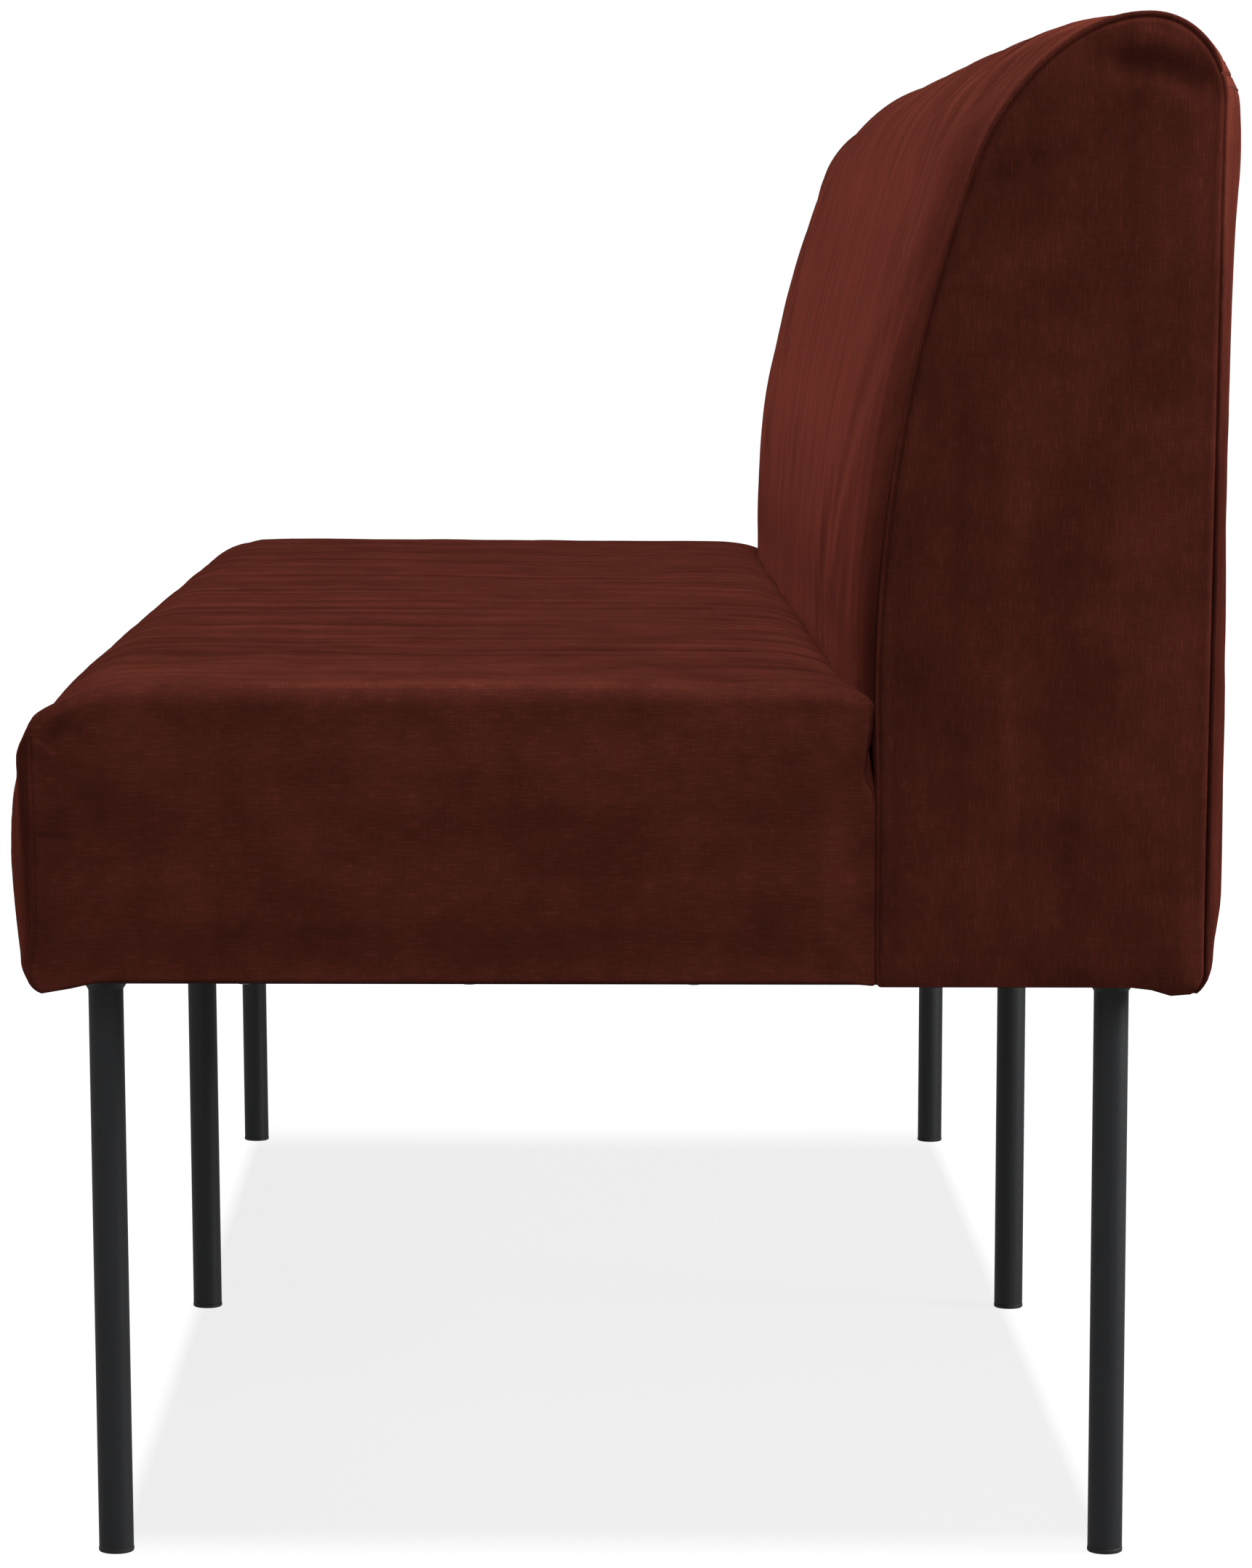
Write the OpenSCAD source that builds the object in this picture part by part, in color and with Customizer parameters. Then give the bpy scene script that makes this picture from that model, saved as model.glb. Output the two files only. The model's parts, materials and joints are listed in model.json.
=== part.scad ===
// Upholstered dining bench with a backrest, on three welded steel leg frames.
// X runs along the bench, the sitter faces -Y, Z is up.
// The origin is on the floor, under the middle of the bench.

/* [Whole bench] */
// Length over the bulging end panels
bench_len = 1600; // [1300:10:2000]
// Height of the underside of the upholstery above the floor
under_h = 335.5; // [250:0.5:450]
// Depth of the seat box, from its front corner seam to the backrest
seat_depth = 470; // [420:1:540]
// Depth of the backrest at its foot
back_depth = 184; // [170:1:230]
// How much further back the rear face stands at its top
back_rake = 5.5; // [0:0.5:12]

/* [Seat upholstery] */
// Height of the seat edge above the underside
seat_edge_h = 167.5; // [150:0.5:200]
// Rise of the seat crown above its end edge
seat_crown = 5; // [1:0.5:10]
// Swelling of the front face beyond its corner seam
front_crown = 28; // [10:1:36]
// Swelling of the front face at its lower edge
lower_crown = 4; // [0:0.5:8]
// Width of the rolled front edge in the middle of the bench
crest_w = 84; // [60:1:110]
// Height of the rolled front edge in the middle of the bench
crest_h = 92; // [60:1:105]
// Width of the squarer front corner at the end seam
corner_w = 50; // [20:1:60]
// Height of the squarer front corner at the end seam
corner_h = 19; // [8:1:30]
// Width of the roll where the seat meets the backrest
rear_roll_w = 38; // [20:1:60]
// Height of that roll
rear_roll_h = 13; // [6:1:20]
// Height above the underside where seat and backrest part
tuck_h = 108.5; // [106:0.5:120]
// Height over which the backrest swells to its full crown
tuck_run = 70; // [50:1:120]
// Radius of the lower edge of the covers
hem_r = 8; // [4:0.5:12]

/* [Backrest upholstery] */
// Height of the end seam's top above the underside
back_h = 536; // [480:1:620]
// Height above the underside where the front starts to curve back
lean_start_h = 158.5; // [140:0.5:200]
// Height above the underside where the rounded top starts
round_start_h = 456.5; // [430:0.5:480]
// Radius of the long curve up the front
lean_r = 870; // [750:5:1200]
// Distance of the highest point behind the foot of the front seam
apex_back = 145.5; // [135:0.5:155]
// Pull of the curve at the start of the rounded top
round_pull = 35; // [20:1:50]
// Pull of the curve at the highest point
apex_pull = 40; // [20:1:55]
// Drop of the rounding behind the highest point
rear_round_h = 40; // [25:1:60]
// Swelling of the front, top and rear between the ends
back_crown = 20; // [8:1:28]
// Height of the seam between the front and rear panels, above the underside
rear_seam_h = 506; // [480:1:515]

/* [Cover and foam] */
// Swelling of the end panels
end_bulge = 7; // [2:0.5:9]
// Distance from the end seam in which the covers swell
swell_run = 52; // [30:1:100]
// Thickness of the velvet with its backing
cover_t = 1.5; // [1:0.1:2]
// Clearance between neighbouring soft pieces
soft_gap = 0.3; // [0.2:0.05:0.6]
// Width of the hem under the frame
hem_w = 30; // [22:1:34]
// Thickness of the black cloth under the bench
dust_t = 1; // [0.5:0.1:1.5]
// Inset of the black cloth from the end and corner seams
dust_inset = 13; // [8:1:20]
// Foam on the wooden end panels
end_foam = 10.5; // [8:0.5:14]
// Foam between the front seam and the seat frame
front_foam = 12; // [9:0.5:16]
// Width of the end panels' edge that is turned round the end seam
panel_edge = 0.4; // [0.2:0.1:1]

/* [Wooden frame] */
// Thickness of rails and uprights
rail_t = 18; // [15:1:20]
// Height of the seat rails
rail_h = 102; // [90:1:104]
// Height of the cross rails that the leg frames are screwed to
cross_h = 60; // [40:1:80]
// Distance of the two stretchers from the middle of the bench
stretcher_x = 370; // [300:10:450]
// Distance of the two inner uprights from the middle of the bench
upright_x = 260; // [200:10:330]
// Foam in front of the backrest frame at seat height
back_front_foam = 33; // [28:1:40]
// Foam in front of the backrest frame, half way up
back_mid_foam = 33; // [28:1:40]
// Foam above the backrest frame
back_top_foam = 38; // [34:1:50]
// Height of the sloping stretch at the top of the frame's front
top_slope_h = 41.5; // [30:0.5:60]
// Foam behind the backrest frame
back_rear_foam = 11; // [9:0.5:16]
// Width of the top rail
top_rail_w = 48; // [40:1:52]
// Height of the top rail
top_rail_t = 20; // [16:1:24]
// Height of the lumbar rail
lumbar_h = 80; // [60:1:100]
// Height above the underside where the lumbar rail starts
lumbar_z = 264; // [240:1:280]
// Thickness of the fibre boards of the backrest
board_t = 3; // [2:0.5:4]
// Height of the blocks under the backrest uprights
block_h = 44; // [36:1:60]

/* [Webbing] */
// Number of straps across the seat
strap_n = 14; // [8:1:16]
// Width of a strap
strap_w = 50; // [40:1:60]
// Thickness of a strap
strap_t = 1.5; // [1:0.1:2.5]
// Distance of the strap ends from the outer faces of the rails
strap_end = 2; // [1:0.5:8]

/* [Steel leg frames] */
// Distance of the outer leg frames from the ends of the bench
leg_inset = 60; // [50:1:90]
// Distance of the front legs behind the front corner seam
leg_front_inset = 37.5; // [34:0.5:60]
// Distance of the rear legs before the rear seam
leg_rear_inset = 47; // [40:0.5:70]
// How far the front legs lean out towards their tops
front_leg_lean = 4.5; // [0:0.5:8]
// Setback of the middle leg frame
middle_setback = 5.5; // [0:0.5:8]
// Diameter of a leg tube
leg_d = 20; // [18:0.5:25]
// Wall of a leg tube
leg_wall = 1.5; // [1:0.1:2.5]
// Width of the crossbar
bar_w = 40; // [36:1:45]
// Thickness of the crossbar
bar_t = 4; // [3:0.5:6]
// Length of the crossbar beyond the leg axes
bar_over = 17; // [15:0.5:25]
// Length of the weld bead down the tube
weld_h = 6; // [4:0.5:8]
// Width of the weld bead on the crossbar
weld_w = 4.6; // [3:0.1:6]
// Radius of the weld bead's hollow face
weld_hollow_r = 14; // [10:1:30]
// Length down the tube that the weld bead has all the way round
weld_ring_h = 5; // [4:0.1:6]
// Curved runs of the bead: distance from the tube's axis, radius and length down the tube
weld_runs = [[2.3, 8, 6], [-4.9, 5, 5.5]];

/* [Foot plugs] */
// Thickness of the plug's flange under the tube
foot_t = 3; // [2:0.5:5]
// Diameter of the flange
foot_d = 20.4; // [18:0.1:26]
// Rounding of the flange's lower edge
foot_r = 1.2; // [0.5:0.1:1.8]
// Bevel of the flange's upper edge
foot_bevel = 0.5; // [0.2:0.1:0.8]
// Depth of the plug in the tube
plug_len = 18; // [10:1:30]
// Clearance between the plug's ribs and the tube
plug_gap = 0.25; // [0.15:0.05:0.5]
// Number of ribs on the plug
plug_ribs = 3; // [2:1:4]
// Height of the ribs above the plug's core
rib_h = 1; // [0.5:0.1:2]
// Thickness of a rib
rib_t = 1.8; // [1:0.1:2.5]

/* [Fasteners] */
// Shank diameter of the crossbar screws
screw_d = 5; // [4:0.5:6]
// Length of the crossbar screws under the head
screw_len = 38; // [30:1:44]
// Head diameter of the crossbar screws
screw_head_d = 10; // [9:0.5:12]
// Head height of the crossbar screws
screw_head_h = 2.5; // [2:0.5:4]
// Lower diameter of the crossbar screws' heads
screw_head_low_d = 7; // [6:0.5:9]
// Distance of the outer crossbar screws from the seat rails' outer faces
seat_screw_inset = 100; // [60:5:140]
// Distance of the crossbar screws from the backrest rails
back_screw_inset = 40; // [25:1:50]
// Thread diameter of the bolts between seat and backrest
bolt_d = 8; // [6:1:10]
// Diameter of the bolt heads
bolt_head_d = 19; // [16:1:22]
// Outer diameter of the flat on the bolt heads
bolt_flat_d = 11; // [9:0.5:15]
// Height of the bolt heads
bolt_head_h = 4.5; // [3:0.5:6]
// Height of the bolts above the underside
bolt_h = 55; // [40:1:70]
// Distance of the inner bolts from the middle of the bench
bolt_inner_x = 130; // [80:10:200]
// Distance of the outer bolts from the middle of the bench
bolt_outer_x = 560; // [460:10:640]
// Length of the thread beyond the nuts
bolt_end = 3; // [1:0.5:6]
// Clearance of the bolts in their nuts
nut_gap = 0.05; // [0.02:0.01:0.1]
// Width across the flats of the nuts
nut_af = 13; // [12:0.5:16]
// Height of the nuts
nut_t = 6.5; // [5:0.5:8]
// Diameter of the washers
washer_d = 22; // [18:1:26]
// Thickness of the washers
washer_t = 1.6; // [1:0.1:2.5]
// Diameter of the frame screws
frame_screw_d = 4.5; // [4:0.5:5]
// Length of the frame screws under the head
frame_screw_len = 50; // [40:1:60]
// Head diameter of the frame screws
frame_head_d = 8.5; // [7:0.5:10]
// Head height of the frame screws
frame_head_h = 1.2; // [0.8:0.1:2]
// Distance of the frame screws from the edges of the seat rails
frame_screw_inset = 25.5; // [15:0.5:35]
// Clearance of every screw and bolt in its hole
hole_gap = 0.25; // [0.1:0.05:0.5]
// Length of the back of a staple
staple_l = 11; // [8:0.5:14]
// Thickness of the staple wire
staple_wire = 0.7; // [0.5:0.1:1]
// Distance of the staples from the edge of the cloth
staple_inset = 8; // [5:0.5:11]
// Spacing of the staples
staple_pitch = 55; // [40:1:80]

/* [Hidden] */

// Heights
under_z = under_h + dust_t;
frame_z = under_z + cover_t;
seat_edge_z = under_z + seat_edge_h;
tuck_z = under_z + tuck_h;
frame_top_z = frame_z + rail_h;
foam_z = frame_top_z + strap_t;
apex_z = under_z + back_h;
back_frame_top_z = apex_z - back_top_foam;
leg_top_z = under_h - bar_t;

// Ends of the bench
seam_x = bench_len / 2 - end_bulge;
frame_x = seam_x - end_foam;
inner_x = frame_x - rail_t;
leg_x = bench_len / 2 - leg_inset;
cross_w = 2 * (inner_x - leg_x);

// Depths, with the middle of the whole depth at Y = 0
total_depth = front_crown + seat_depth + back_depth + back_rake + back_crown;
front_y = -total_depth / 2 + front_crown;
join_y = front_y + seat_depth;
rear_y = join_y + back_depth;
join_gap = soft_gap / 2;
seat_frame_y0 = front_y + front_foam;
seat_frame_y1 = join_y - join_gap - cover_t;
back_frame_y0 = join_y + join_gap + cover_t;
back_frame_y1 = rear_y - back_rear_foam;
foot_front_y = front_y + leg_front_inset;
foot_rear_y = rear_y - leg_rear_inset;

// Rings of points from the middle to an end seam, closer together towards the seam
STATIONS = 8;
STATION_BIAS = 2.4;
// Rings of points on an end panel, as shares of the distance from its centre to its seam
CAP_RINGS = [0.5, 0.86];
SIDES = ["left", "middle", "right"];
ROUND = 48;
// How far a cutting shape reaches beyond what it cuts
cut = 1;

VELVET = "#5a2019";
FOAM = "#e6dcb4";
WOOD = "#c9a06c";
STEEL = "#26282a";
ZINC = "#b9bcc0";
BLACK_CLOTH = "#1d1d1f";
FIBRE_BOARD = "#8a6540";
PLASTIC = "#17181a";

function smooth(u) = let (c = min(1, max(0, u))) c * c * (3 - 2 * c);
function unit(v) = v / norm(v);
function side_sign(side) = side == "left" ? -1 : side == "right" ? 1 : 0;

// The end seam's outline and the middle outline have the same number of points,
// and run anticlockwise in the YZ plane from the lower front corner.
function seat_rear_y(z, push) = join_y - join_gap - push * smooth((z - tuck_z) / tuck_run);

function seat_line(front, lower, w, h, top, roll_w, push) = let (
    roll_z = top - rear_roll_h,
    roll_y = seat_rear_y(roll_z, push),
    low_z = under_z + hem_r)
    concat(
        [[lower + hem_r, under_z], [seat_rear_y(under_z, push), under_z]],
        [for (z = [tuck_z, (tuck_z + roll_z) / 2, roll_z]) [seat_rear_y(z, push), z]],
        [for (a = [30, 60, 90]) [roll_y - roll_w * (1 - cos(a)), roll_z + rear_roll_h * sin(a)]],
        [for (u = [0.35, 0.7]) [(roll_y - roll_w) * (1 - u) + (front + w) * u, top]],
        [for (a = [0 : 15 : 90]) [front + w * (1 - sin(a)), top - h * (1 - cos(a))]],
        [for (u = [0.35, 0.7, 1]) [front + (lower - front) * u * u, (top - h) * (1 - u) + low_z * u]],
        [[lower + hem_r * (1 - cos(45)), low_z - hem_r * sin(45)]]);

function curve(p0, p1, p2, p3, t) =
    p0 * pow(1 - t, 3) + 3 * p1 * t * pow(1 - t, 2) + 3 * p2 * t * t * (1 - t) + p3 * pow(t, 3);

function lean_y(z) = let (h = z - under_z - lean_start_h)
    join_y + join_gap + (h > 0 ? lean_r - sqrt(lean_r * lean_r - h * h) : 0);

back_end_line = let (
    round_z = under_z + round_start_h,
    slope = asin((round_start_h - lean_start_h) / lean_r),
    start = [lean_y(round_z), round_z],
    apex = [join_y + apex_back, apex_z],
    roll_z = seat_edge_z - rear_roll_h,
    rear_top = [rear_y + back_rake, apex_z - rear_round_h],
    low = [rear_y, under_z + hem_r])
    concat(
        [[join_y + join_gap, under_z], [rear_y - hem_r, under_z],
         [rear_y - hem_r * (1 - cos(45)), under_z + hem_r * (1 - sin(45))]],
        [for (u = [0, 0.12, 0.4, 0.72, 1]) low + (rear_top - low) * u],
        [for (a = [30, 60]) [rear_top[0] - (rear_top[0] - apex[0]) * (1 - cos(a)),
                             rear_top[1] + rear_round_h * sin(a)]],
        [apex],
        [for (t = [0.75, 0.5, 0.25]) curve(start, start + round_pull * [sin(slope), cos(slope)],
                                           apex - [apex_pull, 0], apex, t)],
        [for (u = [1, 0.8, 0.6, 0.4, 0.22, 0.08])
            let (z = roll_z + (round_z - roll_z) * u) [lean_y(z), z]],
        [for (z = [roll_z, (tuck_z + roll_z) / 2, tuck_z]) [lean_y(z), z]]);

// Outward direction at one point of an outline
function outward(line, i) = let (
    n = len(line),
    u = unit(line[i] - line[(i + n - 1) % n]),
    v = unit(line[(i + 1) % n] - line[i]),
    s = unit(u + v))
    [s[1], -s[0]];

// An outline drawn inwards by a distance, square to its edges
function inset(line, d) = [for (i = [0 : len(line) - 1]) let (
    n = len(line),
    u = unit(line[i] - line[(i + n - 1) % n]),
    out = outward(line, i))
    line[i] - out * d / (out * [u[1], -u[0]])];

function back_hold(p) = p[0] < join_y + apex_back
    ? smooth((p[1] - tuck_z) / tuck_run)
    : smooth((p[1] - under_z) / tuck_run);

back_mid_line = [for (i = [0 : len(back_end_line) - 1])
    back_end_line[i] + outward(back_end_line, i) * back_crown * back_hold(back_end_line[i])];

seat_end_line = seat_line(front_y, front_y, corner_w, corner_h, seat_edge_z, rear_roll_w, 0);
seat_mid_line = seat_line(front_y - front_crown, front_y - lower_crown, crest_w, crest_h,
                          seat_edge_z + seat_crown, rear_roll_w, back_crown);

// Closed skin through rings of points, with a tip at each end
module skin(rings, tip_left, tip_right) {
    n = len(rings[0]);
    m = len(rings);
    points = concat([tip_left, tip_right], [for (r = rings) each r]);
    left_cap = [for (j = [0 : n - 1]) [0, 2 + j, 2 + (j + 1) % n]];
    right_cap = [for (j = [0 : n - 1]) [1, 2 + (m - 1) * n + (j + 1) % n, 2 + (m - 1) * n + j]];
    walls = [for (i = [0 : m - 2], j = [0 : n - 1], half = [0, 1]) let (
        a = 2 + i * n + j,
        b = 2 + i * n + (j + 1) % n)
        half == 0 ? [a, a + n, b + n] : [a, b + n, b]];
    polyhedron(points, concat(left_cap, walls, right_cap), convexity = 6);
}

// Upholstered body between its two end seams, drawn inwards by a distance
module upholstery(end_line, mid_line, d) {
    ends = inset(end_line, d);
    mids = inset(mid_line, d);
    half = seam_x - d;
    centre = [(min([for (p = ends) p[0]]) + max([for (p = ends) p[0]])) / 2,
              (min([for (p = ends) p[1]]) + max([for (p = ends) p[1]])) / 2];
    middle = [for (k = [-STATIONS : STATIONS]) let (
        from_end = half * pow(1 - abs(k) / STATIONS, STATION_BIAS),
        x = (k < 0 ? -1 : 1) * (half - from_end),
        swell = 1 - exp(-from_end / swell_run))
        [for (i = [0 : len(ends) - 1]) [x, each (ends[i] + (mids[i] - ends[i]) * swell)]]];
    caps = [for (r = CAP_RINGS) [for (p = ends)
        [half + end_bulge * (1 - pow(r, 4)), each (centre + (p - centre) * r)]]];
    left_caps = [for (ring = caps) [for (p = ring) [-p[0], p[1], p[2]]]];
    right_caps = [for (i = [len(caps) - 1 : -1 : 0]) caps[i]];
    tip = half + end_bulge;
    skin(concat(left_caps, middle, right_caps), [-tip, each centre], [tip, each centre]);
}

// A block between two corners
module block(low, high) {
    translate(low) cube(high - low);
}

// A drawing in the YZ plane, as thick as the distance between two X values
module extrude_x(x0, x1) {
    translate([x0, 0, 0]) rotate([90, 0, 90]) linear_extrude(x1 - x0) children();
}

module rod_x(x0, x1, y, z, d) {
    translate([x0, y, z]) rotate([0, 90, 0]) cylinder(d = d, h = x1 - x0, $fn = ROUND);
}

module rod_y(x, y0, y1, z, d) {
    translate([x, y0, z]) rotate([-90, 0, 0]) cylinder(d = d, h = y1 - y0, $fn = ROUND);
}

// Places shared by the screws, the bolts and their holes
block_y0 = back_frame_y0 + rail_t;
block_y1 = back_frame_y1 - rail_t;
seat_span = seat_frame_y1 - seat_frame_y0;
seat_screw_y = [seat_frame_y0 + seat_screw_inset, seat_frame_y0 + seat_span / 2,
                seat_frame_y1 - seat_screw_inset];
back_screw_y = [block_y0 + back_screw_inset, block_y1 - back_screw_inset];
leg_rows = [for (side = SIDES) side_sign(side) * leg_x];
bolt_x = [-bolt_outer_x, -bolt_inner_x, bolt_inner_x, bolt_outer_x];
bolt_z = under_z + bolt_h;
frame_screw_z = [frame_z + frame_screw_inset, frame_top_z - frame_screw_inset];
frame_screw_y = [seat_frame_y0 + rail_t / 2, seat_frame_y1 - rail_t / 2];

function setback(side) = side == "middle" ? middle_setback : 0;

module crossbar_screw_holes() {
    for (x = leg_rows, y = concat(seat_screw_y, back_screw_y))
        translate([x, y, leg_top_z - cut])
            cylinder(d = screw_d + 2 * hole_gap, h = screw_len + 2 * cut, $fn = ROUND);
}

module bolt_holes() {
    for (x = bolt_x)
        rod_y(x, seat_frame_y1 - rail_t - cut, back_frame_y0 + rail_t + cut, bolt_z, bolt_d + 2 * hole_gap);
}

module frame_screw_holes() {
    outer_x = frame_x + cut;
    inner_x = frame_x - frame_screw_len - cut;
    for (s = [-1, 1], y = frame_screw_y, z = frame_screw_z)
        rod_x(min(s * outer_x, s * inner_x), max(s * outer_x, s * inner_x), y, z,
              frame_screw_d + 2 * hole_gap);
}

// Steel leg frames
module crossbar(side) {
    x = side_sign(side) * leg_x;
    y0 = foot_front_y - front_leg_lean - bar_over + setback(side);
    y1 = foot_rear_y + bar_over + setback(side);
    color(STEEL) difference() {
        block([x - bar_w / 2, y0, under_h - bar_t], [x + bar_w / 2, y1, under_h]);
        crossbar_screw_holes();
    }
}

function leg_foot(end, side) =
    [side_sign(side) * leg_x, (end == "front" ? foot_front_y : foot_rear_y) + setback(side)];
function leg_lean(end) = end == "front" ? front_leg_lean : 0;

function leg_tilt(end) = atan(leg_lean(end) / (leg_top_z - foot_t));
function leg_len(end) = (leg_top_z - foot_t) / cos(leg_tilt(end));

// Places its children on the axis of a leg, from the leg's lower end upwards
module leg_axis(end, side) {
    foot = leg_foot(end, side);
    translate([foot[0], foot[1], foot_t]) rotate([leg_tilt(end), 0, 0]) children();
}

// A rod round the axis of a leg, longer than the leg at both ends
module leg_rod(end, side, d, spare) {
    leg_axis(end, side) translate([0, 0, -spare])
        cylinder(d = d, h = leg_len(end) + 2 * spare, $fn = ROUND);
}

module leg(end, side) {
    foot = leg_foot(end, side);
    color(STEEL) intersection() {
        difference() {
            leg_rod(end, side, leg_d, leg_d);
            leg_rod(end, side, leg_d - 2 * leg_wall, leg_d + cut);
        }
        block([foot[0] - leg_d, foot[1] - leg_d - front_leg_lean, foot_t],
              [foot[0] + leg_d, foot[1] + leg_d, leg_top_z]);
    }
}

// Section of a weld bead, a slightly hollow face between the bar and the tube
module weld_section() {
    r = leg_d / 2;
    chord = norm([weld_w, weld_h]);
    off = sqrt(weld_hollow_r * weld_hollow_r - chord * chord / 4) / chord;
    difference() {
        translate([r, -weld_h - cut]) square([weld_w, weld_h + 2 * cut]);
        translate([r + weld_w / 2 + weld_h * off, -weld_h / 2 - weld_w * off])
            circle(r = weld_hollow_r, $fn = ROUND);
    }
}

// Room of a weld bead: a ring under the bar and two curved runs that reach further down the tube
module weld_room() {
    translate([0, 0, -weld_ring_h]) cylinder(r = leg_d, h = weld_ring_h + cut, $fn = ROUND);
    for (run = weld_runs)
        translate([0, run[0], run[1] - run[2]]) rotate([0, 90, 0])
            cylinder(r = run[1], h = 2 * leg_d, center = true, $fn = ROUND);
}

module leg_welds() {
    wide = 2 * leg_d;
    color(STEEL) for (side = SIDES, end = ["front", "rear"]) intersection() {
        leg_axis(end, side) translate([0, 0, leg_len(end)]) intersection() {
            rotate_extrude($fn = ROUND) weld_section();
            weld_room();
        }
        translate([leg_foot(end, side)[0], leg_foot(end, side)[1], leg_top_z - wide / 2])
            cube([wide, 2 * wide, wide], center = true);
    }
}

module foot_flange_section() {
    difference() {
        square([foot_d / 2, foot_t]);
        translate([foot_d / 2 - foot_r, 0]) difference() {
            translate([0, -cut]) square(foot_r + cut);
            translate([0, foot_r]) circle(r = foot_r, $fn = ROUND);
        }
        translate([foot_d / 2, foot_t]) rotate(45) square(foot_bevel * sqrt(2), center = true);
    }
}

module foot_plug_section() {
    rib_r = leg_d / 2 - leg_wall - plug_gap;
    rib_pitch = plug_len / plug_ribs;
    translate([0, -foot_t / 2]) square([rib_r - rib_h, plug_len + foot_t / 2]);
    for (k = [1 : plug_ribs])
        translate([0, rib_pitch * k - rib_t - rib_h]) square([rib_r, rib_t]);
}

module foot(end, side) {
    place = leg_foot(end, side);
    color(PLASTIC) {
        translate([place[0], place[1], 0]) rotate_extrude($fn = ROUND) foot_flange_section();
        leg_axis(end, side) rotate_extrude($fn = ROUND) foot_plug_section();
    }
}

module crossbar_screws() {
    color(ZINC) for (x = leg_rows, y = concat(seat_screw_y, back_screw_y))
        translate([x, y, leg_top_z]) {
            translate([0, 0, -screw_head_h])
                cylinder(d1 = screw_head_low_d, d2 = screw_head_d, h = screw_head_h, $fn = ROUND);
            cylinder(d = screw_d, h = screw_len, $fn = ROUND);
        }
}

// Seat frame
module seat_front_rail() {
    color(WOOD) difference() {
        block([-inner_x, seat_frame_y0, frame_z], [inner_x, seat_frame_y0 + rail_t, frame_top_z]);
        frame_screw_holes();
    }
}

module seat_rear_rail() {
    color(WOOD) difference() {
        block([-inner_x, seat_frame_y1 - rail_t, frame_z], [inner_x, seat_frame_y1, frame_top_z]);
        frame_screw_holes();
        bolt_holes();
    }
}

module seat_end_rail(s) {
    color(WOOD) difference() {
        block([min(s * inner_x, s * frame_x), seat_frame_y0, frame_z],
              [max(s * inner_x, s * frame_x), seat_frame_y1, frame_top_z]);
        frame_screw_holes();
    }
}

module seat_cross_rail(side) {
    x = side_sign(side) * leg_x;
    color(WOOD) difference() {
        block([x - cross_w / 2, seat_frame_y0 + rail_t, frame_z],
              [x + cross_w / 2, seat_frame_y1 - rail_t, frame_z + cross_h]);
        crossbar_screw_holes();
    }
}

module seat_stretcher(s) {
    color(WOOD) block([s * stretcher_x - rail_t / 2, seat_frame_y0 + rail_t, frame_z],
                      [s * stretcher_x + rail_t / 2, seat_frame_y1 - rail_t, frame_z + cross_h]);
}

module seat_frame_screws() {
    color(ZINC) for (s = [-1, 1], y = frame_screw_y, z = frame_screw_z)
        translate([s * frame_x, y, z]) rotate([0, -90 * s, 0]) {
            cylinder(d = frame_screw_d, h = frame_screw_len, $fn = ROUND);
            translate([0, 0, -frame_head_h]) cylinder(d = frame_head_d, h = frame_head_h, $fn = ROUND);
        }
}

module seat_webbing() {
    pitch = 2 * inner_x / strap_n;
    color(BLACK_CLOTH) for (k = [0 : strap_n - 1])
        translate([-inner_x + pitch * (k + 0.5) - strap_w / 2, seat_frame_y0 + strap_end, frame_top_z])
            cube([strap_w, seat_span - 2 * strap_end, strap_t]);
}

// Seat foam and cover
module seat_padding() {
    upholstery(seat_end_line, seat_mid_line, cover_t + soft_gap);
}

// Room for the heads of the frame screws in the foam on the ends
module seat_screw_head_room() {
    depth = frame_head_h + soft_gap;
    for (s = [-1, 1], y = frame_screw_y, z = frame_screw_z)
        rod_x(s * frame_x - depth, s * frame_x + depth, y, z, frame_head_d + 2 * soft_gap);
}

module seat_foam() {
    color(FOAM) intersection() {
        seat_padding();
        block([-bench_len, -total_depth, foam_z], [bench_len, total_depth, 2 * foam_z]);
    }
}

module seat_front_foam() {
    color(FOAM) intersection() {
        seat_padding();
        block([-frame_x, -total_depth, 0], [frame_x, seat_frame_y0, foam_z]);
    }
}

module seat_end_foam(s) {
    color(FOAM) difference() {
        intersection() {
            seat_padding();
            block([min(s * frame_x, s * bench_len), -total_depth, 0],
                  [max(s * frame_x, s * bench_len), total_depth, foam_z]);
        }
        seat_screw_head_room();
    }
}

module seat_cover() {
    color(VELVET) difference() {
        upholstery(seat_end_line, seat_mid_line, 0);
        upholstery(seat_end_line, seat_mid_line, cover_t);
        block([-seam_x + hem_w, front_y + hem_w, under_z - cut],
              [seam_x - hem_w, join_y - hem_w, frame_z + cut]);
        bolt_holes();
    }
}

// Backrest frame
front_edge = [
    [back_frame_y0, frame_z],
    [back_frame_y0, frame_top_z],
    [join_y + back_front_foam, frame_top_z],
    [lean_y(under_z + lumbar_z) + back_mid_foam, under_z + lumbar_z],
    [lean_y(back_frame_top_z - top_slope_h) + back_mid_foam, back_frame_top_z - top_slope_h],
    [back_frame_y1 + back_rake - top_rail_w, back_frame_top_z]];
rear_edge = [
    [back_frame_y1 + back_rake, back_frame_top_z],
    [back_frame_y1, frame_z]];

function rear_edge_y(z) = back_frame_y1 + back_rake * (z - frame_z) / (back_frame_top_z - frame_z);

back_frame_line = concat(
    [[back_frame_y1, frame_z], [back_frame_y0, frame_z]],
    [for (i = [1 : len(front_edge) - 1]) front_edge[i]],
    [rear_edge[0]]);

// Section of each long rail, which the inner uprights are notched for
module section(low, high) {
    translate(low) square(high - low);
}

module back_front_rail_section() {
    section([back_frame_y0, frame_z], [back_frame_y0 + rail_t, frame_top_z]);
}

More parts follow.
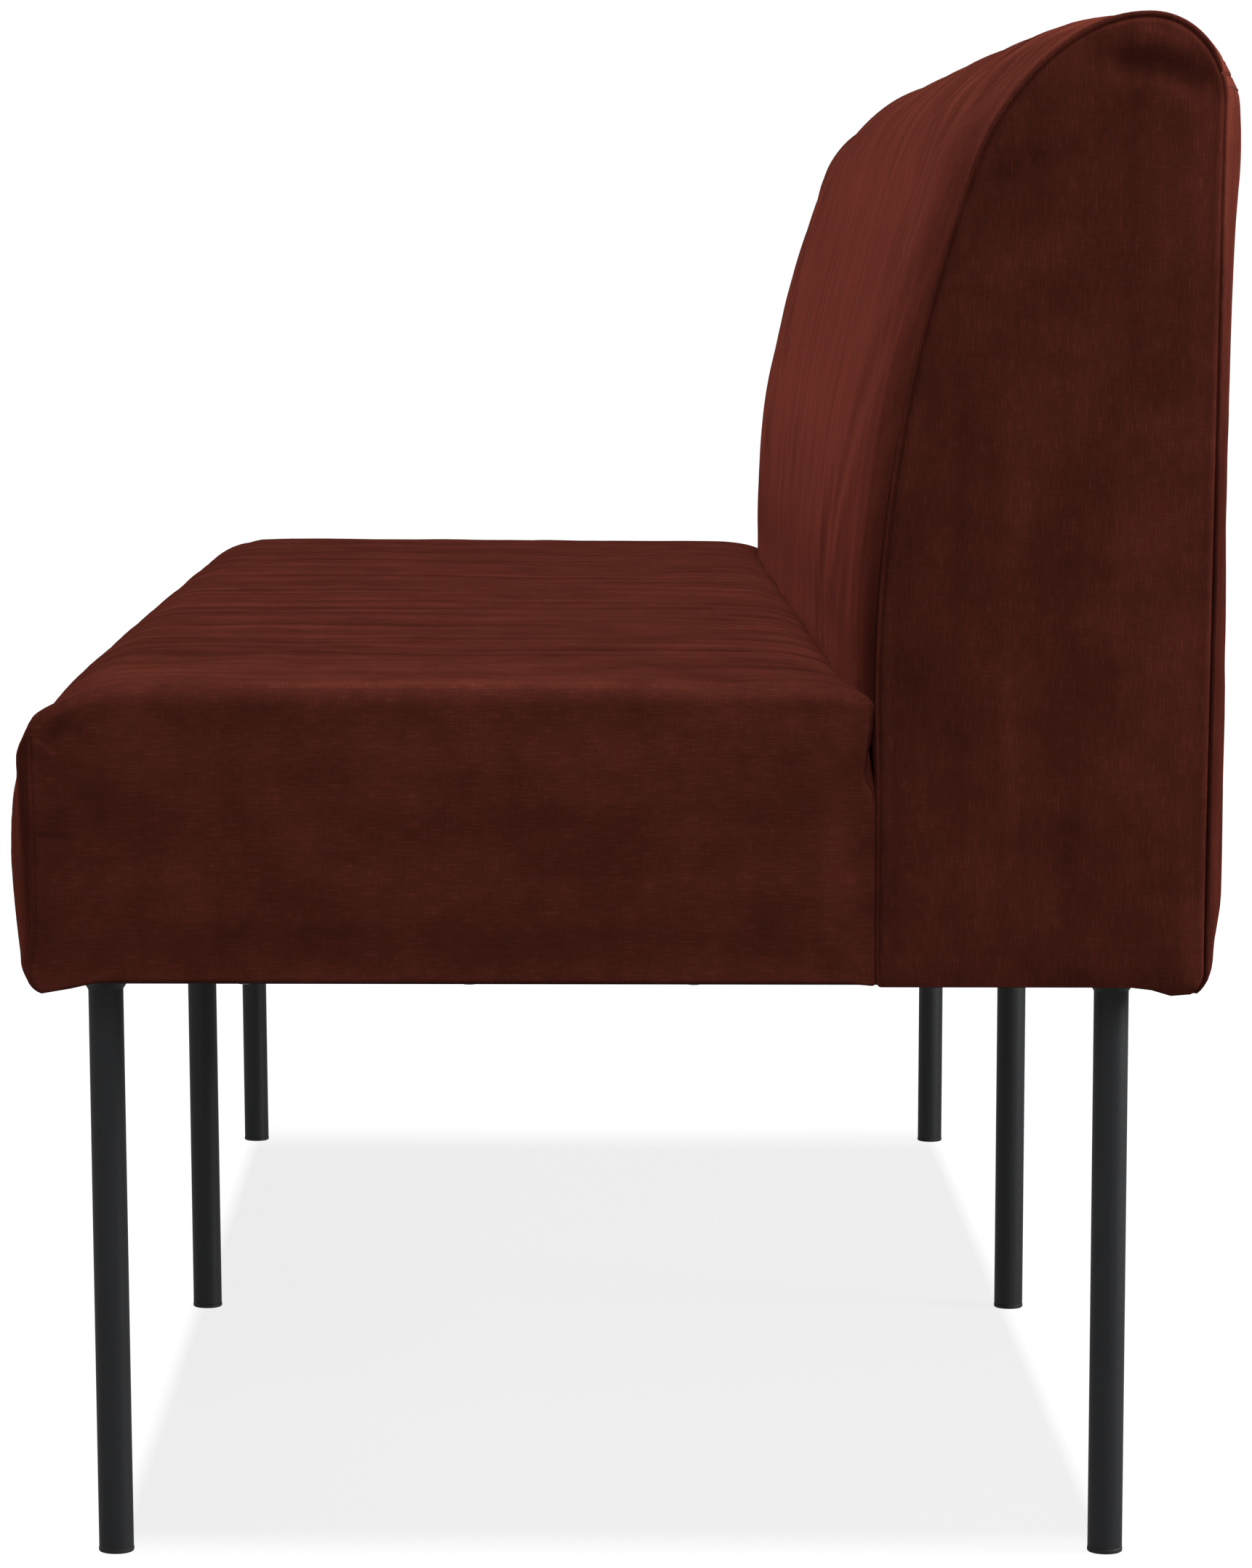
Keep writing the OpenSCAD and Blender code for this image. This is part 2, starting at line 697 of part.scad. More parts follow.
module back_rear_rail_section() {
    section([back_frame_y1 - rail_t, frame_z], [back_frame_y1, frame_z + rail_h]);
}

module back_top_rail_section() {
    z = back_frame_top_z - top_rail_t;
    section([back_frame_y1 + back_rake - top_rail_w, z], [rear_edge_y(z), back_frame_top_z]);
}

// The lumbar rail leans as the frame's front does there
module back_lumbar_rail_section(proud) {
    knee = front_edge[3];
    above = front_edge[4];
    translate(knee) rotate(-atan2(above[0] - knee[0], above[1] - knee[1]))
        translate([-proud, 0]) square([rail_t + proud, lumbar_h]);
}

module back_end_panel(s) {
    color(WOOD) extrude_x(min(s * inner_x, s * frame_x), max(s * inner_x, s * frame_x))
        polygon(back_frame_line);
}

module back_upright(s) {
    color(WOOD) extrude_x(s * upright_x - rail_t / 2, s * upright_x + rail_t / 2) difference() {
        polygon(back_frame_line);
        back_front_rail_section();
        back_rear_rail_section();
        back_top_rail_section();
        back_lumbar_rail_section(cut);
    }
}

module back_front_rail() {
    color(WOOD) difference() {
        extrude_x(-inner_x, inner_x) back_front_rail_section();
        bolt_holes();
    }
}

module back_rear_rail() {
    color(WOOD) extrude_x(-inner_x, inner_x) back_rear_rail_section();
}

module back_top_rail() {
    color(WOOD) extrude_x(-inner_x, inner_x) back_top_rail_section();
}

module back_lumbar_rail() {
    color(WOOD) extrude_x(-inner_x, inner_x) back_lumbar_rail_section(0);
}

module back_block(side) {
    x = side_sign(side) * leg_x;
    color(WOOD) difference() {
        block([x - cross_w / 2, block_y0, frame_z], [x + cross_w / 2, block_y1, frame_z + block_h]);
        crossbar_screw_holes();
    }
}

module back_front_board() {
    top = [for (i = [2 : len(front_edge) - 1]) front_edge[i]];
    color(FIBRE_BOARD) extrude_x(-frame_x, frame_x)
        polygon(concat(top, [for (i = [len(top) - 1 : -1 : 0]) top[i] - [board_t, 0]]));
}

module back_rear_board() {
    color(FIBRE_BOARD) extrude_x(-frame_x, frame_x)
        polygon([rear_edge[0], rear_edge[1], rear_edge[1] + [board_t, 0], rear_edge[0] + [board_t, 0]]);
}

// Backrest foam and cover
module back_padding() {
    upholstery(back_end_line, back_mid_line, cover_t + soft_gap);
}

module back_foam() {
    color(FOAM) intersection() {
        back_padding();
        extrude_x(-frame_x, frame_x) polygon(concat(
            [[0, frame_top_z]],
            [for (i = [2 : len(front_edge) - 1]) front_edge[i] - [board_t, 0]],
            [[total_depth, back_frame_top_z], [total_depth, 2 * apex_z], [0, 2 * apex_z]]));
    }
}

module back_rear_foam() {
    far = [total_depth, 0];
    color(FOAM) intersection() {
        back_padding();
        extrude_x(-frame_x, frame_x) polygon([
            rear_edge[0] + [board_t, 0], rear_edge[1] + [board_t, -cover_t - cut],
            rear_edge[1] + far - [0, cover_t + cut], rear_edge[0] + far]);
    }
}

module back_end_foam(s) {
    color(FOAM) intersection() {
        back_padding();
        block([min(s * frame_x, s * bench_len), -total_depth, 0],
              [max(s * frame_x, s * bench_len), total_depth, 2 * apex_z]);
    }
}

module back_cover() {
    difference() {
        upholstery(back_end_line, back_mid_line, 0);
        upholstery(back_end_line, back_mid_line, cover_t);
        block([-seam_x + hem_w, join_y + hem_w, under_z - cut],
              [seam_x - hem_w, rear_y - hem_w, frame_z + cut]);
        bolt_holes();
    }
}

// The end panel with its hem, which lies between the hems of the front and rear panels
module back_end_space(s) {
    far = bench_len;
    edge_x = seam_x - cover_t - panel_edge;
    block([min(s * edge_x, s * far), -total_depth, 0], [max(s * edge_x, s * far), total_depth, 2 * apex_z]);
    block([min(s * (seam_x - hem_w - cut), s * far), join_y + hem_w + cut, 0],
          [max(s * (seam_x - hem_w - cut), s * far), rear_y - hem_w - cut, frame_z + cut]);
}

module back_rear_space() {
    block([-bench_len, join_y + apex_back, 0], [bench_len, total_depth, under_z + rear_seam_h]);
}

module back_cover_front() {
    color(VELVET) difference() {
        back_cover();
        back_rear_space();
        back_end_space(-1);
        back_end_space(1);
    }
}

module back_cover_rear() {
    color(VELVET) difference() {
        intersection() {
            back_cover();
            back_rear_space();
        }
        back_end_space(-1);
        back_end_space(1);
    }
}

module back_cover_end(s) {
    color(VELVET) intersection() {
        back_cover();
        back_end_space(s);
    }
}

// Bolts through the seat's rear rail and the backrest's front rail
bolt_y0 = seat_frame_y1 - rail_t;
bolt_y1 = back_frame_y0 + rail_t;

module back_bolts() {
    color(ZINC) for (x = bolt_x) {
        rod_y(x, bolt_y0 - washer_t, bolt_y1 + washer_t + nut_t + bolt_end, bolt_z, bolt_d);
        translate([x, bolt_y0 - washer_t, bolt_z]) rotate([90, 0, 0])
            cylinder(d1 = bolt_head_d, d2 = bolt_flat_d, h = bolt_head_h, $fn = ROUND);
    }
}

module back_bolt_washers() {
    color(ZINC) for (x = bolt_x, y = [bolt_y0 - washer_t, bolt_y1]) difference() {
        rod_y(x, y, y + washer_t, bolt_z, washer_d);
        rod_y(x, y - cut, y + washer_t + cut, bolt_z, bolt_d + 2 * hole_gap);
    }
}

module back_bolt_nuts() {
    color(ZINC) for (x = bolt_x) difference() {
        translate([x, bolt_y1 + washer_t, bolt_z]) rotate([-90, 0, 0])
            cylinder(d = nut_af / cos(30), h = nut_t, $fn = 6);
        rod_y(x, bolt_y1 + washer_t - cut, bolt_y1 + washer_t + nut_t + cut, bolt_z, bolt_d + 2 * nut_gap);
    }
}

// Black cloth under the bench
dust_x = seam_x - dust_inset;
dust_y0 = front_y + dust_inset;
dust_y1 = rear_y - dust_inset;

module dust_cover() {
    color(BLACK_CLOTH) difference() {
        block([-dust_x, dust_y0, under_h], [dust_x, dust_y1, under_z]);
        crossbar_screw_holes();
    }
}

module dust_cover_staples() {
    along = floor(2 * (dust_x - staple_inset) / staple_pitch);
    across = floor((dust_y1 - dust_y0 - 2 * staple_inset) / staple_pitch);
    color(ZINC) {
        for (k = [0 : along], y = [dust_y0 + staple_inset, dust_y1 - staple_inset])
            translate([(k - along / 2) * staple_pitch - staple_l / 2, y, under_h - staple_wire])
                cube([staple_l, staple_wire, staple_wire]);
        for (k = [1 : across - 1], s = [-1, 1])
            translate([s * (dust_x - staple_inset), (dust_y0 + dust_y1 - staple_l) / 2
                       + (k - across / 2) * staple_pitch, under_h - staple_wire])
                cube([staple_wire, staple_l, staple_wire]);
    }
}

crossbar("left");  // crossbar_left
crossbar("middle");  // crossbar_middle
crossbar("right");  // crossbar_right
leg("front", "left");  // leg_front_left
leg("front", "middle");  // leg_front_middle
leg("front", "right");  // leg_front_right
leg("rear", "left");  // leg_rear_left
leg("rear", "middle");  // leg_rear_middle
leg("rear", "right");  // leg_rear_right
foot("front", "left");  // foot_front_left
foot("front", "middle");  // foot_front_middle
foot("front", "right");  // foot_front_right
foot("rear", "left");  // foot_rear_left
foot("rear", "middle");  // foot_rear_middle
foot("rear", "right");  // foot_rear_right
leg_welds();
crossbar_screws();
seat_front_rail();
seat_rear_rail();
seat_end_rail(-1);  // seat_end_rail_left
seat_end_rail(1);  // seat_end_rail_right
seat_cross_rail("left");  // seat_cross_rail_left
seat_cross_rail("middle");  // seat_cross_rail_middle
seat_cross_rail("right");  // seat_cross_rail_right
seat_stretcher(-1);  // seat_stretcher_left
seat_stretcher(1);  // seat_stretcher_right
seat_frame_screws();
seat_webbing();
seat_foam();
seat_front_foam();
seat_end_foam(-1);  // seat_end_foam_left
seat_end_foam(1);  // seat_end_foam_right
seat_cover();
back_end_panel(-1);  // back_end_panel_left
back_end_panel(1);  // back_end_panel_right
back_upright(-1);  // back_upright_left
back_upright(1);  // back_upright_right
back_front_rail();
back_rear_rail();
back_top_rail();
back_lumbar_rail();
back_block("left");  // back_block_left
back_block("middle");  // back_block_middle
back_block("right");  // back_block_right
back_front_board();
back_rear_board();
back_foam();
back_rear_foam();
back_end_foam(-1);  // back_end_foam_left
back_end_foam(1);  // back_end_foam_right
back_cover_front();
back_cover_rear();
back_cover_end(-1);  // back_cover_end_left
back_cover_end(1);  // back_cover_end_right
back_bolts();
back_bolt_washers();
back_bolt_nuts();
dust_cover();
dust_cover_staples();
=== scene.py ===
"""Dining bench with a backrest: its upholstery, finishes, stage and camera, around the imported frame."""
import json
import math

import bmesh
import bpy
import numpy as np
from bpy.props import FloatProperty, FloatVectorProperty, IntProperty, PointerProperty
from mathutils import Matrix, Vector, noise
from mathutils.bvhtree import BVHTree
from mathutils.geometry import delaunay_2d_cdt
from mathutils.kdtree import KDTree


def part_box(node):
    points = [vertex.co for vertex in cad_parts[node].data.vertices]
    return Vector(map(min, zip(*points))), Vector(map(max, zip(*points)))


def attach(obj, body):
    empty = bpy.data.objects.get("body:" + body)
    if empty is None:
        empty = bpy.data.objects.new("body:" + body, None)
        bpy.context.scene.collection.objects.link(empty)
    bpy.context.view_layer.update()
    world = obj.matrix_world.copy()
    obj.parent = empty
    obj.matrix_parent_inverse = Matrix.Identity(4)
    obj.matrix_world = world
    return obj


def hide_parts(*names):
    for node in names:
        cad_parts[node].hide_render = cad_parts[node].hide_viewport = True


bl_info = {
    "name": "Dining bench",
    "version": (1, 0, 0),
    "blender": (4, 5, 0),
    "location": "View3D > Sidebar > Bench",
    "description": "Upholstery, finishes and stage of a dining bench",
    "category": "Object",
}

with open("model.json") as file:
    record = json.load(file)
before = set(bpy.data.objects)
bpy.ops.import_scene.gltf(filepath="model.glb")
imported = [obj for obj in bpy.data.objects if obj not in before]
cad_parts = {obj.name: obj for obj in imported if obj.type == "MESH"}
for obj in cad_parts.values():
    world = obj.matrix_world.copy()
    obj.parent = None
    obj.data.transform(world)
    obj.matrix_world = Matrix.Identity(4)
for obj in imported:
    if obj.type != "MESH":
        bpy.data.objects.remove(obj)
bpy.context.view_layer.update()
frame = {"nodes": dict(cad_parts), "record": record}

# Places read from the frame
SEAT_LOW, SEAT_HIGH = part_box("seat_cover")
CLOTH_LOW, CLOTH_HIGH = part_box("dust_cover")
STRAPS_LOW, STRAPS_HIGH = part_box("seat_webbing")
UNDER_Z = SEAT_LOW.z
JOINT_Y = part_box("back_cover_end_right")[0].y
MM = 0.001

# Radius of the covers' lower edges where they meet, and the largest radius of the backrest's end edges
EDGE_R = 2.5 * MM
# Radius of the backrest's lower rear edge
REAR_HEM_R = 8 * MM
# Height to which the cloth simulation holds the covers at the bottom, and the fade below it
HELD_H = 16 * MM
HELD_FADE = 8 * MM
# The puffed edges beside an end seam: share of its depth, and place and reach on end and long panel
PUFF = 0.3
END_PUFF = (3.4 * MM, 2.2 * MM)
LONG_PUFF = (2.2 * MM, 1.5 * MM)
# Reach of the hold beside a seam, and of the calm stretch beside it where the cloth can't wave
SEAM_HOLD = 9 * MM
SEAM_CALM = 25 * MM
# The end panels' lower edges: height in which they hang, how far they stand out, and reach inwards
HANG_H = 44 * MM
HANG_OUT = 3.4 * MM
HANG_REACH = 30 * MM
# Frames of the cloth simulation, how many percent of the cloth move less than usual, and the most that a
# fold is of the usual height
CLOTH_FRAMES = 20
USUAL_PERCENT = 90
MOST_FOLD = 2
# Share of a crease's length in which it fades at each end, and its weight at the very ends
CREASE_FADE = 0.25
CREASE_LEAST = 0.25

# Soft creases of the end panels: (y, z) of both ends, depth, width, and the colour's gain from the painted
# shade in them
BACK_CREASES = (((266 * MM, 852 * MM), (299 * MM, 850 * MM), 7 * MM, 8 * MM, 0.72),
                ((294 * MM, 849 * MM), (324 * MM, 839 * MM), 7 * MM, 8 * MM, 0.74),
                ((212 * MM, 793 * MM), (276 * MM, 813 * MM), 1.2 * MM, 7 * MM, 0.86))
SEAT_CREASES = (((-324 * MM, 420 * MM), (-306 * MM, 419 * MM), 1.2 * MM, 1.6 * MM, 0.72),
                ((-320 * MM, 474 * MM), (-309 * MM, 484 * MM), 1.6 * MM, 3.5 * MM, 0.78))
# The soft fold above the backrest's creases: (y, z) of both ends, height and width
BACK_FOLD = ((270 * MM, 864 * MM), (312 * MM, 859 * MM), 3 * MM, 8 * MM)

# The painted pale shadow on the floor: axis, where it starts and where it is full, for each of its sides
SHADOW_EDGES = (("X", -0.86, -0.69), ("X", 0.79, 0.69), ("Y", -0.30, -0.284), ("Y", 0.294, 0.278))
# The soft lights: name, place, aim, size, setting that holds the power, whether reflections show it
LIGHTS = (("top_softbox", (0, 0, 3.6), (0, 0, 0), 1.0, "top_power", True),
          ("end_softbox", (6.6, 0, 3.9), (0.8, 0, 0.6), 2.0, "end_power", False),
          ("rear_softbox", (1.0, 3.4, 1.8), (0.4, 0.3, 0.6), 1.6, "rear_power", True))


def length(name, description, millimetres, low=0.0, high=2.0):
    """A length given in millimetres, between two limits in metres."""
    return FloatProperty(name=name, description=description, default=millimetres * MM, min=low, max=high,
                         unit="LENGTH", precision=4)


def number(name, description, default):
    return FloatProperty(name=name, description=description, default=default)


def angle(name, description, degrees):
    return FloatProperty(name=name, description=description, subtype="ANGLE", default=math.radians(degrees))


def colour(name, description, default):
    return FloatVectorProperty(name=name, description=description, subtype="COLOR", default=default,
                               min=0, max=1)


class BenchSeatSizes(bpy.types.PropertyGroup):
    """Sizes of the upholstered seat"""
    end_bulge: length("End bulge", "How far the end panels swell beyond their seams", 7)
    swell_run: length("Swell run", "Distance from the end in which the cover swells", 52)
    top_swell_run: length("Top swell run", "Distance from the end in which the top swells", 70)
    front_crown: length("Front crown", "Swelling of the front face", 28)
    lower_crown: length("Lower crown", "Swelling of the front face at its lower edge", 19.5)
    front_inset: length("Front inset", "Distance of the end's seam behind the frontmost point", 26)
    edge_h: length("Edge height", "Height of the seat edge above the underside", 167.5)
    crown: length("Crown", "Rise of the seat in the middle", 6)
    crest_w: length("Crest width", "Width of the rolled front edge in the middle", 74)
    crest_h: length("Crest height", "Height of the rolled front edge in the middle", 102)
    corner_w: length("Corner width", "Width of the front corner at the end", 50)
    corner_h: length("Corner height", "Height of the front corner at the end", 24)
    corner_power: number("Corner power", "Shape of the end's corner: 2 is round, less is pointed", 1.45)
    rear_roll_w: length("Rear roll width", "Width of the roll beside the backrest", 38)
    rear_roll_h: length("Rear roll height", "Height of the roll beside the backrest", 13)
    tuck_h: length("Tuck height", "Height where seat and backrest part", 108.5)
    tuck_run: length("Tuck run", "Height in which the backrest swells over the seat", 45)
    tuck_share: number("Tuck share", "Share of the swelling gained in that height", 0.65)
    tuck_fade: length("Tuck fade", "Height in which the rest of the swelling is gained", 220)
    hem_r: length("Hem radius", "Radius of the lower front edge", 8)
    fold_r: length("Fold radius", "Radius of the fold between top and end", 14)


class BenchBackSizes(bpy.types.PropertyGroup):
    """Sizes of the upholstered backrest"""
    crown: length("Crown", "Swelling of front and rear between the ends", 18.5)
    top_crown: length("Top crown", "Rise of the top between the ends", 5.2)
    rear_top_crown: length("Rear top crown", "Rise of the top just behind its ridge", 10)
    shoulder: length("Shoulder", "Extra swelling of the front under the rounded top", 3)
    top_swell_run: length("Top swell run", "Distance in which the top rises", 225)
    rear_hem_share: number("Rear hem share", "Swelling kept at the rear hem", 0.75)
    rear_hem_run: length("Rear hem run", "Height in which the rear gains its full swelling", 45)
    rear_extra: length("Rear extra", "How much more the rear swells than the front", 3.0)
    rear_hollow: length("Rear hollow", "How much flatter the rear is at half height", 2.8)
    foot_depth: length("Foot depth", "Depth of the backrest at its foot", 184)
    height: length("Height", "Height of the end seam above the underside", 539.0)
    rake: length("Rake", "How much further back the rear stands at the top", 5.2)
    lean_start_h: length("Lean start", "Height where the front starts to curve back", 158.5)
    round_start_h: length("Round start", "Height where the rounded top starts", 456.5)
    lean_r: length("Lean radius", "Radius of the long curve up the front", 870)
    apex_back: length("Apex", "Distance of the highest point behind the front's foot", 147.5)
    round_pull: length("Round pull", "Pull of the curve at the start of the top", 39)
    apex_pull: length("Apex pull", "Pull of the curve at the highest point", 44)
    rear_round_h: length("Rear rounding", "Drop of the rounding behind the top", 48)
    band_w: length("Seam band", "Width of the puffed band outside the end seam at the top", 3.1)
    rear_seam_h: length("Rear seam", "Height of the seam at the top of the rear panel", 508)
    stitch_drop: length("Stitch row", "Distance of the stitched row under that seam", 7.5)


class BenchCoverDetails(bpy.types.PropertyGroup):
    """Fine shape and colour of the velvet"""
    seam_depth: length("Seam depth", "Depth of the seams", 2.2)
    seam_w: length("Seam width", "Half width of the seams", 0.55)
    wave: length("Waves", "Height of the soft waves of the cover", 1.3)
    flute: length("Flutes", "Height of the soft upright flutes", 0.7)
    velvet: colour("Velvet", "Colour of the velvet", (0.066, 0.0150, 0.0100))
    sheen: colour("Sheen", "Colour of the sheen on the pile", (0.50, 0.105, 0.072))
    seat_sheen: number("Seat sheen", "Weight of the sheen on top and ends", 0.2)
    front_sheen: number("Front sheen", "Weight of the sheen on the seat's front", 0.22)
    back_sheen: number("Back sheen", "Weight of the sheen on the backrest's front", 0.19)
    pile_seed: IntProperty(name="Pile seed", description="Choice of the pile's blotches", default=7)
    pressure: number("Pressure", "Pressure of the padding in the cloth simulation", 4.0)
    excess: number("Excess cloth", "Share by which the cloth is larger than the pad", 0.004)
    cloth_grid: length("Cloth grid", "Mesh width of the cloth simulation", 9)
    cloth_reach: length("Cloth reach", "Size of the folds taken from the cloth simulation", 70)
    cloth_move: length("Cloth movement", "Usual height of those folds", 1.0)


class BenchFinishes(bpy.types.PropertyGroup):
    """Colours of everything but the velvet"""
    coat: colour("Powder coat", "Colour of the steel's powder coat", (0.0075, 0.0081, 0.0094))
    plastic: colour("Plastic", "Colour of the foot plugs", (0.010, 0.010, 0.011))
    zinc: colour("Zinc", "Colour of screws, bolts and staples", (0.56, 0.57, 0.60))
    wood: colour("Wood", "Colour of the wooden frame", (0.60, 0.39, 0.20))
    board: colour("Board", "Colour of the fibre boards", (0.23, 0.13, 0.065))
    cloth: colour("Black cloth", "Colour of the cloth under the bench and of the webbing",
                  (0.015, 0.015, 0.016))
    thread: colour("Thread", "Colour of the sewing thread", (0.055, 0.012, 0.009))


class BenchStageSettings(bpy.types.PropertyGroup):
    """Floor, lights and camera"""
    eye_distance: length("Eye distance", "Distance of the camera from the middle", 3827, 1, 10)
    eye_side: length("Eye side", "Place of the camera across the bench", -37.25, -1, 1)
    eye_height: length("Eye height", "Height of the camera", 738.4)
    lens: number("Lens", "Focal length in millimetres", 125.23)
    yaw: angle("Yaw", "Turn of the camera", 0.756)
    pitch: angle("Pitch", "Downward tilt of the camera", 5.451)
    roll: angle("Roll", "Roll of the camera", 0.2)
    top_power: number("Top light", "Power of the light above", 110.0)
    end_power: number("End light", "Power of the light behind the camera", 264.0)
    rear_power: number("Rear light", "Power of the light behind the bench", 150.0)
    world_light: number("Surroundings", "Strength of the pale surroundings", 0.10)
    world_mirrored: number("Mirrored surroundings", "Strength of the surroundings in reflections", 0.65)
    floor_light: number("Floor glow", "Light that the floor gives back", 0.22)


# Curves and weights
def smooth(u):
    u = np.clip(u, 0, 1)
    return u * u * (3 - 2 * u)


def rise(value, start, run):
    """0 up to the start, and softly up to 1 over the run after it."""
    return smooth((value - start) / run)


def fall(value, start, run):
    """0 from the start on, and softly up to 1 over the run before it."""
    return smooth((start - value) / run)


def blend(first, second, share):
    return first * (1 - share) + second * share


def bump(distance, width):
    return np.exp(-(distance / width) ** 2)


def stretch(start, end, count):
    """Points from start towards end, without the last one."""
    u = np.arange(count)[:, None] / count
    return np.array(start) * (1 - u) + np.array(end) * u


def arc(centre, radii, first, last, count):
    """Points of an ellipse's arc between two angles in degrees, without the last one."""
    a = np.radians(first + (last - first) * np.arange(count) / count)
    return np.column_stack((centre[0] + radii[0] * np.cos(a), centre[1] + radii[1] * np.sin(a)))


def outward(line):
    """Unit vectors square to a closed outline, pointing out of it."""
    along = np.roll(line, -1, axis=0) - np.roll(line, 1, axis=0)
    along /= np.linalg.norm(along, axis=1)[:, None]
    return np.column_stack((along[:, 1], -along[:, 0]))


def evened(values, reach):
    """Values round a closed outline, each averaged with its neighbours on both sides."""
    count = 2 * reach + 1
    padded = np.concatenate((values[-reach:], values, values[:reach]))
    return np.convolve(padded, np.ones(count) / count, "valid")


def tuck(seat, z):
    """Share of the backrest's swelling that shows at a height beside the seat."""
    above = z - UNDER_Z - seat.tuck_h
    return (seat.tuck_share * smooth(above / seat.tuck_run)
            + (1 - seat.tuck_share) * smooth(above / seat.tuck_fade))


def swelling(t, run, half):
    """Share of the swelling at a distance from the end: nothing at the seam, full in the middle."""
    t = np.minimum(t, half)
    return 1 - np.cosh((half - t) / run) / np.cosh(half / run)


# Outlines run from the lower front corner along the bottom, up the rear and back over the top
def seat_outline(size, front, lower, w, h, top, push, power=2.0):
    """Outline of the seat. front and lower are the places of the front face at its top and bottom, w and h
    the front corner's size, top the height, push how far the backrest's swelling presses the rear in, and
    power the front corner's shape."""
    join = JOINT_Y - 0.3 * MM
    roll_z = top - size.rear_roll_h
    low_z = UNDER_Z + size.hem_r

    def rear(z):
        return join - push * tuck(size, z)

    heights = UNDER_Z + EDGE_R + (roll_z - UNDER_Z - EDGE_R) * np.arange(26) / 26
    roll_y = float(rear(roll_z))
    down = np.arange(26)[:, None] / 26
    face = np.column_stack((front + (lower - front) * down[:, 0] ** 2,
                            (top - h) * (1 - down[:, 0]) + low_z * down[:, 0]))
    turn = np.pi / 2 * np.arange(24) / 24
    corner = np.column_stack((front + w - w * np.sin(turn) ** (2 / power),
                              top - h + h * np.cos(turn) ** (2 / power)))
    return np.concatenate((
        stretch((lower + size.hem_r, UNDER_Z), (join - EDGE_R, UNDER_Z), 34),
        arc((join - EDGE_R, UNDER_Z + EDGE_R), (EDGE_R, EDGE_R), -90, 0, 4),
        np.column_stack((rear(heights), heights)),
        arc((roll_y - size.rear_roll_w, roll_z), (size.rear_roll_w, size.rear_roll_h), 0, 90, 12),
        stretch((roll_y - size.rear_roll_w, top), (front + w, top), 48),
        corner,
        face,
        arc((lower + size.hem_r, low_z), (size.hem_r, size.hem_r), 180, 270, 7)))


def back_lean(size, z):
    """Place of the backrest's front at a height: straight up, then along the long curve."""
    h = np.maximum(z - UNDER_Z - size.lean_start_h, 0)
    return JOINT_Y + size.lean_r - np.sqrt(size.lean_r ** 2 - h ** 2)


def top_curve(size, start, apex, slope):
    """The rounded top, from its highest point forward and down to the long curve."""
    t = np.arange(26)[:, None] / 26
    pull_a = apex - (size.apex_pull, 0)
    pull_b = start + size.round_pull * np.array((math.sin(slope), math.cos(slope)))
    return (apex * (1 - t) ** 3 + 3 * pull_a * t * (1 - t) ** 2
            + 3 * pull_b * t * t * (1 - t) + start * t ** 3)


def rear_rounding(size, apex, rear_top):
    """The rounding behind the highest point, with its points close together at the rear seam."""
    seam_angle = math.degrees(math.asin((UNDER_Z + size.rear_seam_h - rear_top[1]) / size.rear_round_h))
    near_seam = np.array((-4.5, -3.0, -1.9, -1.2, -0.6, 0, 0.6, 1.2, 1.9, 3.0, 4.5))
    before = np.arange(3) / 3 * (seam_angle - 5)
    after = seam_angle + 5 + (85 - seam_angle) * np.arange(17) / 17
    angles = np.radians(np.concatenate((before, seam_angle + near_seam, after)))
    return np.column_stack((apex[0] + (rear_top[0] - apex[0]) * np.cos(angles),
                            rear_top[1] + size.rear_round_h * np.sin(angles)))


def back_outline(size):
    """Outline of the backrest's end seam."""
    rear = JOINT_Y + size.foot_depth
    round_z = UNDER_Z + size.round_start_h
    slope = math.asin((size.round_start_h - size.lean_start_h) / size.lean_r)
    start = np.array((float(back_lean(size, round_z)), round_z))
    apex = np.array((JOINT_Y + size.apex_back, UNDER_Z + size.height))
    rear_top = np.array((rear + size.rake, apex[1] - size.rear_round_h))
    heights = round_z + (UNDER_Z + EDGE_R - round_z) * np.arange(72) / 72
    return np.concatenate((
        stretch((JOINT_Y + EDGE_R, UNDER_Z), (rear - REAR_HEM_R, UNDER_Z), 16),
        arc((rear - REAR_HEM_R, UNDER_Z + REAR_HEM_R), (REAR_HEM_R, REAR_HEM_R), -90, 0, 7),
        stretch((rear, UNDER_Z + REAR_HEM_R), rear_top, 84),
        rear_rounding(size, apex, rear_top),
        top_curve(size, start, apex, slope),
        np.column_stack((back_lean(size, heights), heights)),
        arc((JOINT_Y + EDGE_R, UNDER_Z + EDGE_R), (EDGE_R, EDGE_R), 180, 270, 4)))


# Meshes
def add_object(name, data):
    obj = bpy.data.objects.new(name, data)
    bpy.context.scene.collection.objects.link(obj)
    return obj


def smooth_mesh(name, points, faces):
    mesh = bpy.data.meshes.new(name)
    mesh.from_pydata(points, [], faces)
    mesh.polygons.foreach_set("use_smooth", np.ones(len(faces), dtype=bool))
    return mesh


def object_from(bm, name):
    """The object that a bmesh holds."""
    mesh = bpy.data.meshes.new(name)
    bm.to_mesh(mesh)
    bm.free()
    return add_object(name, mesh)


def thicken(obj, thickness):
    solid = obj.modifiers.new("thickness", "SOLIDIFY")
    solid.thickness = thickness
    solid.offset = 0


def mesh_points(mesh):
    co = np.empty(len(mesh.vertices) * 3)
    mesh.vertices.foreach_get("co", co)
    return co.reshape(-1, 3)


def finish_piece(obj, replaced=()):
    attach(obj, "root")
    if replaced:
        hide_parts(*replaced)


